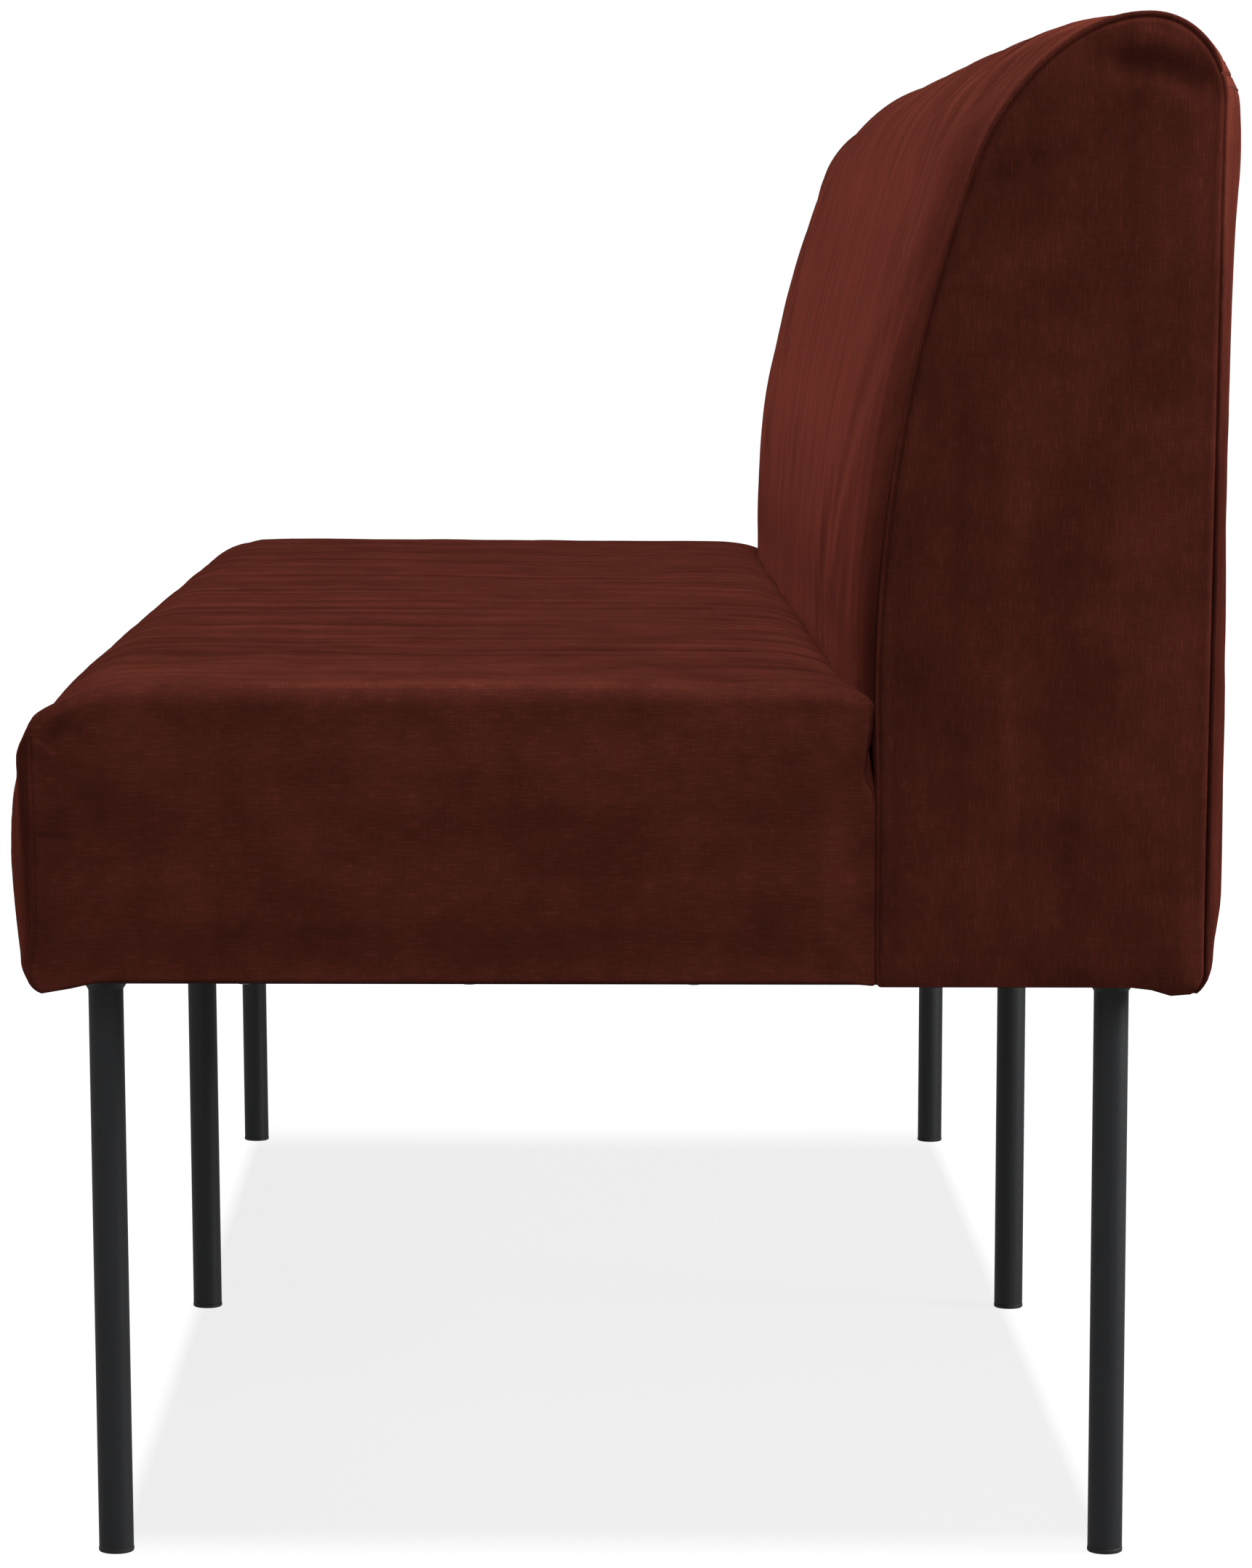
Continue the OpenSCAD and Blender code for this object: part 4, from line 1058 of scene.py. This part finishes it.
    def relief(self, shell, seam, co, cover):
        """Height of the seams, waves and creases at each vertex."""
        room = rise(co[:, 2], UNDER_Z, self.WAVE_H) * wave_room(shell.q)
        return (seam * seam_relief(shell.q, cover.seam_depth, cover.seam_w)
                + room * cover.wave * field(co, *self.WAVES)
                - rise(shell.q, 0, self.CREASE_RUN) * creases_depth(co, SEAT_CREASES))

    def open_notch(self, co, half, size):
        """Presses the cover in beside the backrest, where the two part."""
        depth, lift, up, down, ahead, inwards = self.NOTCH
        above = co[:, 2] - UNDER_Z - size.tuck_h - lift
        notch = np.where(above > 0, bump(above, up), bump(above, down))
        notch *= rise(co[:, 1], JOINT_Y - ahead, ahead)
        co[:, 1] -= depth * notch * bump(from_ends(co, half), inwards)

    def push_ear(self, co, half, front):
        """Lets the front corner stand out below the seat's edge, and flare out at its foot."""
        inset = from_ends(co, half)
        out, height, up, down = self.EAR
        over = co[:, 2] - UNDER_Z - height
        ear = out * np.where(over > 0, bump(over, up), bump(over, down))
        out, height, reach = self.TIP
        ear += out * bump(over - height, reach)
        ear *= bump(inset - self.EAR_INSET, self.EAR_INSET)
        out, height, inwards = self.FLARE
        flare = out * low_down(co, height) * bump(inset, inwards)
        for push in (ear, flare):
            co[:, 1] -= push * fall(co[:, 1], front + self.FRONT_RUN, self.FRONT_RUN)

    def hang_corners(self, co, half, front):
        """Lets the hem hang a little at the front corner and beside the backrest."""
        drop = lobe(co, half, front + self.LOBE_BACK, *self.LOBE) + lobe(co, half, JOINT_Y, *self.TAB)
        co[:, 2] -= low_down(co, self.HEM_H) * drop

    def add_velvet(self, shell, cover):
        """Velvet with its slubs across the top and the ends, and upright on the front."""
        mesh = shell.obj.data
        mesh.materials.append(velvet("velvet_seat_top", across=(1, 0, 1), along=(0, 1, 0), streaks=0.33,
                                     sheen=cover.seat_sheen))
        mesh.materials.append(velvet("velvet_seat_front", across=(1, 0, 0), along=(0, 0, 1), streaks=0.22,
                                     sheen=cover.front_sheen))
        mesh.materials.append(velvet("velvet_seat_end", across=(0, 0, 1), along=(0, 1, 0), streaks=0.12,
                                     sheen=cover.seat_sheen, creases=SEAT_CREASES))
        on_end = shell.q > -self.END_MARGIN
        for polygon in mesh.polygons:
            if polygon.normal.y < -self.FRONT_FACING:
                polygon.material_index = 1
            else:
                polygon.material_index = 2 if all(on_end[list(polygon.vertices)]) else 0


class BackEdge:
    """The backrest's end seam and what changes along it, given at each of its points: the puffed band
    outside it, hold, the share of the swelling that shows there, and crown, the whole swelling."""

    # The band's width low down; at the front the height where it starts to grow and how far that goes on,
    # and at the rear the latter alone, from the rear seam on
    LOW_BAND_W = 1.2 * MM
    FRONT_BAND = (415 * MM, 65 * MM)
    REAR_BAND_RUN = 16 * MM
    # How much the band swells under the rear seam, how far below it and its reach; how much less on top
    REAR_PUFF = (0.5 * MM, 10 * MM, 8 * MM)
    TOP_LESS = 0.5 * MM
    # Least radius of the edge, and height from which the cover swells
    LEAST_R = 0.8 * MM
    LEAST_H = 0.5 * MM
    # Depth over which the front turns into the rear behind the highest point
    REAR_RUN = 20 * MM
    # Height and reach of the front's shoulder; the same at the rear, with its share; the dip at the rear
    # seam, as reach and share; height and reach of the flatter stretch of the rear
    SHOULDER = (484 * MM, 26 * MM)
    REAR_SHOULDER = (458 * MM, 36 * MM, 0.4)
    SEAM_DIP = (18 * MM, 0.6)
    HOLLOW = (310 * MM, 110 * MM)

    def __init__(self, size, seat):
        self.line = back_outline(size)
        self.out = outward(self.line)
        self.height = self.line[:, 1] - UNDER_Z
        self.apex_y = JOINT_Y + size.apex_back
        self.is_rear = rise(self.line[:, 0], self.apex_y, self.REAR_RUN)
        upward = np.clip(self.out[:, 1], 0, 1)
        self.band = self.band_width(size) - self.TOP_LESS * upward ** 8
        self.radius = np.clip(self.band, self.LEAST_R, EDGE_R)
        self.hold = self.swelling_share(size, seat)
        self.crown = self.swelling_height(size, upward ** 3)
        self.run = blend(seat.swell_run, size.top_swell_run, upward ** 2)

    def band_width(self, size):
        more = size.band_w - self.LOW_BAND_W
        above_seam = self.height - size.rear_seam_h
        puff, drop, reach = self.REAR_PUFF
        front = self.LOW_BAND_W + more * rise(self.height, *self.FRONT_BAND)
        rear = self.LOW_BAND_W + more * smooth(above_seam / self.REAR_BAND_RUN)
        rear += puff * bump(above_seam + drop, reach)
        return blend(front, rear, self.is_rear)

    def swelling_share(self, size, seat):
        front = tuck(seat, self.line[:, 1])
        rear = blend(size.rear_hem_share, 1, smooth(self.height / size.rear_hem_run))
        return np.where(self.line[:, 0] < self.apex_y, front, rear) * (self.height > self.LEAST_H)

    def swelling_height(self, size, flat_top):
        def ridge(h, reach, share=1):
            return share * bump(self.height - h, reach)

        top = blend(size.top_crown, size.rear_top_crown, self.is_rear)
        crown = self.hold * blend(size.crown, top, flat_top)
        rear_shoulder = ridge(*self.REAR_SHOULDER) - ridge(size.rear_seam_h, *self.SEAM_DIP)
        crown += size.shoulder * blend(ridge(*self.SHOULDER), rear_shoulder, self.is_rear)
        extra = size.rear_extra - size.rear_hollow * ridge(*self.HOLLOW)
        return crown + self.is_rear * self.hold * extra


class BENCH_OT_back(bpy.types.Operator):
    """Builds the velvet backrest over its wooden frame"""
    bl_idname = "bench.back"
    bl_label = "Backrest upholstery"

    # Upper end of the line inside the end face that its rings shrink to, behind the foot and above it
    MEDIAL_BACK = 124 * MM
    MEDIAL_H = 452 * MM
    # Depth and height over which the hold of the hidden front behind the seat fades
    HIDDEN_RUN = 60 * MM
    HIDDEN_FADE = 20 * MM
    # Depth over which the rear seam fades in, its share of the seams' depth, and its half width
    REAR_RUN = 15 * MM
    REAR_SEAM = 0.7
    REAR_SEAM_W = 1.0 * MM
    # Above this height the end seam's weight is the swelling's share and this much more
    FULL_SEAM_H = 4 * MM
    SEAM_MORE = 0.6
    # Height over which waves and flutes come in above the underside, their scales and choices, and the
    # distance past the seam over which the creases come in
    WAVE_H = 40 * MM
    WAVES = ((8, 8, 8), 14)
    FLUTES = ((26, 1.5, 1.5), 6)
    CREASE_RUN = 4 * MM
    # The ridge at the band's outer edge and the groove before it: height and place, and their reach
    RIDGE = (0.4 * MM, 0.2 * MM)
    GROOVE = (0.6 * MM, 3.2 * MM)
    RIDGE_REACH = 1.2 * MM
    # The puffed band's own velvet, the end's painted a little lighter, lies between these distances, before
    # the edge and past the seam
    BAND_BEFORE = 3.4 * MM
    BAND_PAST = 0.1 * MM
    # Height in which the hem hangs, its reach inwards and drop, how far before the rear its lobe lies, and
    # the lobe's drop and reach across
    HEM_H = 30 * MM
    HEM_REACH = 26 * MM
    HEM_DROP = 1.7 * MM
    LOBE_AHEAD = 15 * MM
    LOBE_DROP = 5 * MM
    LOBE_REACH = 13 * MM

    def execute(self, context):
        size = context.scene.bench_back
        seat = context.scene.bench_seat
        cover = context.scene.bench_cover
        half = SEAT_HIGH.x - seat.end_bulge
        edge = BackEdge(size, seat)
        shell, seam_at = self.body(edge, size, seat, half)
        outer = shell.q + shell.on_rings(seam_at)
        seam_z = UNDER_Z + size.rear_seam_h
        settle(shell, self.held(shell, edge, seat, seam_z), cover)
        co, normal = shell.read()
        co += normal * self.relief(shell, edge, co, outer, seam_z, cover)[:, None]
        self.hang_corners(co, half, JOINT_Y + size.foot_depth)
        hang_hems(co, half)
        shell.write(co)
        self.add_velvet(shell, edge, outer, size, cover)
        finish_piece(shell.obj, ["back_cover_front", "back_cover_rear", "back_cover_end_left",
                                           "back_cover_end_right", "back_foam", "back_rear_foam",
                                           "back_end_foam_left", "back_end_foam_right"])
        return {"FINISHED"}

    def body(self, edge, size, seat, half):
        """The backrest's shell, and the distance of its end seam past the start of the rounding."""
        puffed = edge.band * edge.hold
        edge_line = edge.line + edge.out * puffed[:, None]

        def reach(t):
            share = swelling(np.maximum(t - edge.radius, 0), edge.run, half)
            return edge_line + edge.out * (edge.crown * share)[:, None]

        middle = size.foot_depth / 2
        medial = ((JOINT_Y + middle, UNDER_Z + middle),
                  (JOINT_Y + self.MEDIAL_BACK, UNDER_Z + self.MEDIAL_H))
        seam_at = edge.radius * math.pi / 2 + np.maximum(puffed - edge.radius, 0)
        shell = Shell("back_upholstery", half, edge_line, reach, edge.radius, seam_at, seat.end_bulge,
                      medial, np.ones(len(edge.line)))
        return shell, seam_at

    def held(self, shell, edge, seat, seam_z):
        """Weight that holds the cloth along its seams, its underside and the front behind the seat."""
        y, z = shell.co[:, 1], shell.co[:, 2]
        hidden_top = UNDER_Z + seat.edge_h + self.HIDDEN_FADE
        hidden = fall(y, edge.apex_y, self.HIDDEN_RUN) * fall(z, hidden_top, self.HIDDEN_FADE)
        rear_seam = rise(y, edge.apex_y, self.REAR_RUN) * bump(z - seam_z, SEAM_HOLD)
        end_seam = (shell.column >= 0) * bump(shell.q, SEAM_HOLD)
        return end_seam + bottom_hold(z) + hidden + rear_seam

    def relief(self, shell, edge, co, outer, seam_z, cover):
        """Height of the seams, waves, flutes and creases at each vertex."""
        seam = shell.on_rings(np.clip(edge.hold + self.SEAM_MORE * (edge.height > self.FULL_SEAM_H), 0, 1))
        (up, ridge_at), (down, groove_at) = self.RIDGE, self.GROOVE
        ridge = (up * bump(outer + ridge_at, self.RIDGE_REACH)
                 - down * bump(outer + groove_at, self.RIDGE_REACH))
        shift = seam * (seam_relief(shell.q, cover.seam_depth, cover.seam_w) + ridge)
        room = rise(co[:, 2], UNDER_Z, self.WAVE_H) * wave_room(shell.q)
        shift += room * cover.wave * field(co, *self.WAVES)
        shift += room * cover.flute * field(co, *self.FLUTES)
        rear = rise(co[:, 1], edge.apex_y, self.REAR_RUN) * (shell.q < 0)
        shift -= rear * self.REAR_SEAM * cover.seam_depth * bump(co[:, 2] - seam_z, self.REAR_SEAM_W)
        start, end, fold_h, fold_w = BACK_FOLD
        fold = fold_h * crease(co, start, end, fold_w)
        return shift + rise(shell.q, 0, self.CREASE_RUN) * (fold - creases_depth(co, BACK_CREASES))

    def hang_corners(self, co, half, rear):
        """Lets the hem hang a little at the lower rear corners."""
        drop = lobe(co, half, rear - self.LOBE_AHEAD, self.LOBE_DROP, self.LOBE_REACH, self.HEM_REACH)
        drop += self.HEM_DROP * rise(bump(from_ends(co, half), self.HEM_REACH), 0.2, 0.5)
        co[:, 2] -= low_down(co, self.HEM_H) * drop

    def add_velvet(self, shell, edge, outer, size, cover):
        """Velvet with its slubs upright on the long panels and the ends, with painted shade low down and
        painted light higher up on the front, and the puffed band's own, painted a little lighter than the
        end's.
        """
        mesh = shell.obj.data
        # Painted shade low down and painted light higher up on the backrest's front
        mesh.materials.append(velvet("velvet_back_front", across=(1, 0, 0), along=(0, 1, 1), streaks=0.42,
                                     sheen=cover.back_sheen, brush_marks_and_painted_light=(0.56, 0.82, 0.46, 1.34)))
        mesh.materials.append(velvet("velvet_back_end", across=(0, 1, 0), along=(0, 0, 1), streaks=0.16,
                                     sheen=cover.seat_sheen, brush_marks_and_painted_light=(0.4, 0.9, 0.94, 0.92),
                                     creases=BACK_CREASES))
        # The band's velvet is a copy of the end's, painted a little lighter
        mesh.materials.append(velvet("velvet_back_band", across=(0, 1, 0), along=(0, 0, 1), streaks=0.16,
                                     sheen=cover.seat_sheen, brush_marks_and_painted_light=(0.4, 0.9, 1.04, 1.04)))
        above_rear = shell.on_rings((edge.height > size.rear_seam_h) | (edge.is_rear < 0.5)) > 0
        on_band = above_rear & (shell.q < self.BAND_PAST) & (outer > -self.BAND_BEFORE)
        for polygon in mesh.polygons:
            if all(on_band[list(polygon.vertices)]):
                polygon.material_index = 2


class BENCH_OT_stitches(bpy.types.Operator):
    """Sews the stitched row under the seam of the rear panel"""
    bl_idname = "bench.stitches"
    bl_label = "Rear stitches"

    # Distance of the row's ends from the bench's and of stitch from stitch; a stitch's radius, half length
    # and lift
    END_GAP = 12 * MM
    PITCH = 3.6 * MM
    STITCH_R = 0.35 * MM
    STITCH_HALF = 1.3 * MM
    LIFT = 0.1 * MM

    def execute(self, context):
        back = context.scene.bench_back
        tree = BVHTree.FromObject(bpy.data.objects["back_upholstery"],
                                  context.evaluated_depsgraph_get())
        z = UNDER_Z + back.rear_seam_h - back.stitch_drop
        half = SEAT_HIGH.x - self.END_GAP
        shape = Matrix.Diagonal((self.STITCH_R, self.STITCH_R, self.STITCH_HALF, 1))
        bm = bmesh.new()
        for k in range(int(2 * half / self.PITCH)):
            x = -half + self.PITCH * (k + 0.5)
            hit, normal, _, _ = tree.ray_cast(Vector((x, 1.0, z)), Vector((0, -1, 0)))
            if hit is None:
                raise RuntimeError("the rear panel wasn't found behind a stitch")
            place = Matrix.Translation(hit + normal * self.LIFT) @ Matrix.Rotation(math.pi / 2, 4, "Y")
            bmesh.ops.create_icosphere(bm, subdivisions=1, radius=1.0, matrix=place @ shape)
        obj = object_from(bm, "rear_stitches")
        for polygon in obj.data.polygons:
            polygon.use_smooth = True
        obj.data.materials.append(sewing_thread(context.scene.bench_finish))
        finish_piece(obj)
        return {"FINISHED"}


class BENCH_OT_underside(bpy.types.Operator):
    """Stretches the black cloth under the bench and lays the webbing in the seat"""
    bl_idname = "bench.underside"
    bl_label = "Cloth and webbing"

    BARS = ("crossbar_left", "crossbar_middle", "crossbar_right")
    # The cloth under the bench: points along and across it, thickness, threads per metre, slack and ripple
    CLOTH_POINTS = (140, 60)
    CLOTH_T = 0.6 * MM
    CLOTH_THREADS = 1400.0
    SLACK = 3.2 * MM
    RIPPLE = 1.2 * MM
    RIPPLE_SCALE = 9
    # The straps: number, width, thickness, sag, points along one, places across it, threads per metre
    STRAPS = 14
    STRAP_W = 50 * MM
    STRAP_T = 1.3 * MM
    STRAP_SAG = 2 * MM
    STRAP_POINTS = 24
    STRAP_SHARES = (0, 0.08, 0.5, 0.92, 1)
    STRAP_THREADS = 700.0

    def execute(self, context):
        self.dust_cloth(context.scene.bench_finish)
        self.webbing(context.scene.bench_finish)
        return {"FINISHED"}

    def dust_cloth(self, finishes):
        low, high = CLOTH_LOW, CLOTH_HIGH
        bar_xs = [(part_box(bar)[0].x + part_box(bar)[1].x) / 2 for bar in self.BARS]

        def height(x, y):
            edge = min(x - low.x, high.x - x, y - low.y, high.y - y)
            bar = min(abs(x - b) for b in bar_xs)
            free = rise(edge, 12 * MM, 120 * MM) * rise(bar, 25 * MM, 160 * MM)
            ripple = noise.noise(Vector((x * self.RIPPLE_SCALE, y * self.RIPPLE_SCALE, 2.0)))
            return (low.z + high.z) / 2 - float(free) * (self.SLACK + self.RIPPLE * ripple)

        nx, ny = self.CLOTH_POINTS
        points = [(x, y, height(x, y)) for y in np.linspace(low.y, high.y, ny)
                  for x in np.linspace(low.x, high.x, nx)]
        faces = [(j * nx + i, j * nx + i + 1, (j + 1) * nx + i + 1, (j + 1) * nx + i)
                 for j in range(ny - 1) for i in range(nx - 1)]
        obj = add_object("dust_cloth", smooth_mesh("dust_cloth", points, faces))
        thicken(obj, self.CLOTH_T)
        obj.data.materials.append(black_cloth(finishes, "black_non_woven_cloth", self.CLOTH_THREADS))
        finish_piece(obj, ["dust_cover"])

    def webbing(self, finishes):
        low, high = STRAPS_LOW, STRAPS_HIGH
        pitch = (high.x - low.x - self.STRAP_W) / (self.STRAPS - 1)
        bm = bmesh.new()
        for k in range(self.STRAPS):
            rows = []
            for y in np.linspace(low.y, high.y, self.STRAP_POINTS):
                u = (y - low.y) / (high.y - low.y)
                sag = self.STRAP_SAG * math.sin(math.pi * u) ** 0.5 if 0 < u < 1 else 0
                z = (low.z + high.z) / 2 - sag
                rows.append([bm.verts.new((low.x + pitch * k + self.STRAP_W * share, y, z))
                             for share in self.STRAP_SHARES])
            for a, b in zip(rows, rows[1:]):
                for i in range(len(self.STRAP_SHARES) - 1):
                    bm.faces.new((a[i], a[i + 1], b[i + 1], b[i]))
        obj = object_from(bm, "webbing_straps")
        thicken(obj, self.STRAP_T)
        obj.data.materials.append(black_cloth(finishes, "woven_webbing", self.STRAP_THREADS))
        finish_piece(obj, ["seat_webbing"])


class BENCH_OT_frame_finishes(bpy.types.Operator):
    """Gives every solid part of the frame its finish"""
    bl_idname = "bench.frame_finishes"
    bl_label = "Frame finishes"

    # Words in the names of the wooden pieces whose grain runs upright and across the bench
    UPRIGHT = ("upright", "back_end_panel")
    ACROSS = ("cross_rail", "end_rail", "stretcher", "block")

    def execute(self, context):
        finishes = context.scene.bench_finish
        long_wood = frame_wood(finishes, "beech_along_bench", (0, 1, 0.6), (1, 0, 0))
        deep_wood = frame_wood(finishes, "beech_across_bench", (1, 0, 0.6), (0, 1, 0))
        tall_wood = frame_wood(finishes, "beech_upright", (1, 1, 0), (0, 0, 1))
        by_slot = {"black_steel": powder_coat(finishes), "black_plastic": moulded_plastic(finishes),
                   "zinc": zinc_plate(finishes), "fibre_board": fibre_board(finishes)}
        slots = {part["node"]: part["material_slot"] for part in frame["record"]["subparts"]}
        for node, obj in frame["nodes"].items():
            if obj.hide_render:
                continue
            if slots[node] != "frame_wood":
                material = by_slot[slots[node]]
            elif any(word in node for word in self.UPRIGHT):
                material = tall_wood
            elif any(word in node for word in self.ACROSS):
                material = deep_wood
            else:
                material = long_wood
            obj.data.materials.clear()
            obj.data.materials.append(material)
        return {"FINISHED"}


class BENCH_OT_stage(bpy.types.Operator):
    """Sets the pale floor, the soft lights and the camera"""
    bl_idname = "bench.stage"
    bl_label = "Stage and camera"

    # Half the width of the floor, in metres
    FLOOR_REACH = 40.0
    # Width of the camera's sensor in millimetres, and how far it sees in metres
    SENSOR_W = 36.0
    FAR_CLIP = 200.0

    def execute(self, context):
        stage = context.scene.bench_stage
        self.floor(stage)
        self.world(context.scene, stage)
        for name, place, aim, size, power, glossy in LIGHTS:
            self.light(name, place, aim, size, getattr(stage, power), glossy)
        self.camera(context.scene, stage)
        context.scene.view_settings.view_transform = "Standard"
        return {"FINISHED"}

    def floor(self, stage):
        reach = self.FLOOR_REACH
        corners = [(-reach, -reach, 0), (reach, -reach, 0), (reach, reach, 0), (-reach, reach, 0)]
        mesh = bpy.data.meshes.new("floor")
        mesh.from_pydata(corners, [], [(0, 1, 2, 3)])
        mesh.materials.append(pale_floor(stage))
        add_object("floor", mesh)

    @staticmethod
    def world(scene, stage):
        """Pale surroundings, seen as white and stronger in reflections."""
        scene.world = bpy.data.worlds.new("studio")
        scene.world.use_nodes = True
        tree = scene.world.node_tree
        path = add(tree, "LightPath").outputs
        light = levels(tree, path["Is Glossy Ray"], 0.0, 1.0, stage.world_light, stage.world_mirrored)
        strength = add(tree, "Mix", {"Factor": path["Is Camera Ray"], "A": light, "B": 1.0}).outputs[0]
        put(tree, tree.nodes["Background"], {"Color": (1, 1, 1, 1), "Strength": strength})

    @staticmethod
    def light(name, place, aim, size, power, glossy):
        data = bpy.data.lights.new(name, "AREA")
        data.shape = "SQUARE"
        data.size = size
        data.energy = power
        obj = add_object(name, data)
        obj.location = place
        obj.visible_glossy = glossy
        obj.rotation_euler = (Vector(aim) - Vector(place)).to_track_quat("-Z", "Y").to_euler()

    def camera(self, scene, stage):
        data = bpy.data.cameras.new("camera")
        data.lens = stage.lens
        data.sensor_width = self.SENSOR_W
        data.clip_end = self.FAR_CLIP
        obj = add_object("camera", data)
        ahead = Vector((-math.cos(stage.yaw) * math.cos(stage.pitch),
                        math.sin(stage.yaw) * math.cos(stage.pitch), -math.sin(stage.pitch)))
        right = ahead.cross(Vector((0, 0, 1))).normalized()
        up = right.cross(ahead)
        turned_right = right * math.cos(stage.roll) + up * math.sin(stage.roll)
        turned_up = up * math.cos(stage.roll) - right * math.sin(stage.roll)
        rows = Matrix((turned_right, turned_up, -ahead)).transposed().to_4x4()
        rows.translation = (stage.eye_distance, stage.eye_side, stage.eye_height)
        obj.matrix_world = rows
        scene.camera = obj


OPERATORS = (BENCH_OT_seat, BENCH_OT_back, BENCH_OT_stitches, BENCH_OT_underside,
             BENCH_OT_frame_finishes, BENCH_OT_stage)
GROUPS = {"bench_seat": BenchSeatSizes, "bench_back": BenchBackSizes, "bench_cover": BenchCoverDetails,
          "bench_finish": BenchFinishes, "bench_stage": BenchStageSettings}


class BENCH_PT_panel(bpy.types.Panel):
    """Lists the steps that build the bench"""
    bl_idname = "BENCH_PT_panel"
    bl_label = "Dining bench"
    bl_space_type = "VIEW_3D"
    bl_region_type = "UI"
    bl_category = "Bench"

    def draw(self, context):
        for operator in OPERATORS:
            self.layout.operator(operator.bl_idname, text=operator.bl_label)


def register():
    for group in GROUPS.values():
        bpy.utils.register_class(group)
    for operator in OPERATORS:
        bpy.utils.register_class(operator)
    bpy.utils.register_class(BENCH_PT_panel)
    for name, group in GROUPS.items():
        setattr(bpy.types.Scene, name, PointerProperty(type=group))


def unregister():
    for name in GROUPS:
        delattr(bpy.types.Scene, name)
    bpy.utils.unregister_class(BENCH_PT_panel)
    for operator in reversed(OPERATORS):
        bpy.utils.unregister_class(operator)
    for group in reversed(list(GROUPS.values())):
        bpy.utils.unregister_class(group)


def main():
    register()
    bpy.ops.bench.seat()
    bpy.ops.bench.back()
    bpy.ops.bench.stitches()
    bpy.ops.bench.underside()
    bpy.ops.bench.frame_finishes()
    bpy.ops.bench.stage()


if __name__ == "__main__":
    main()
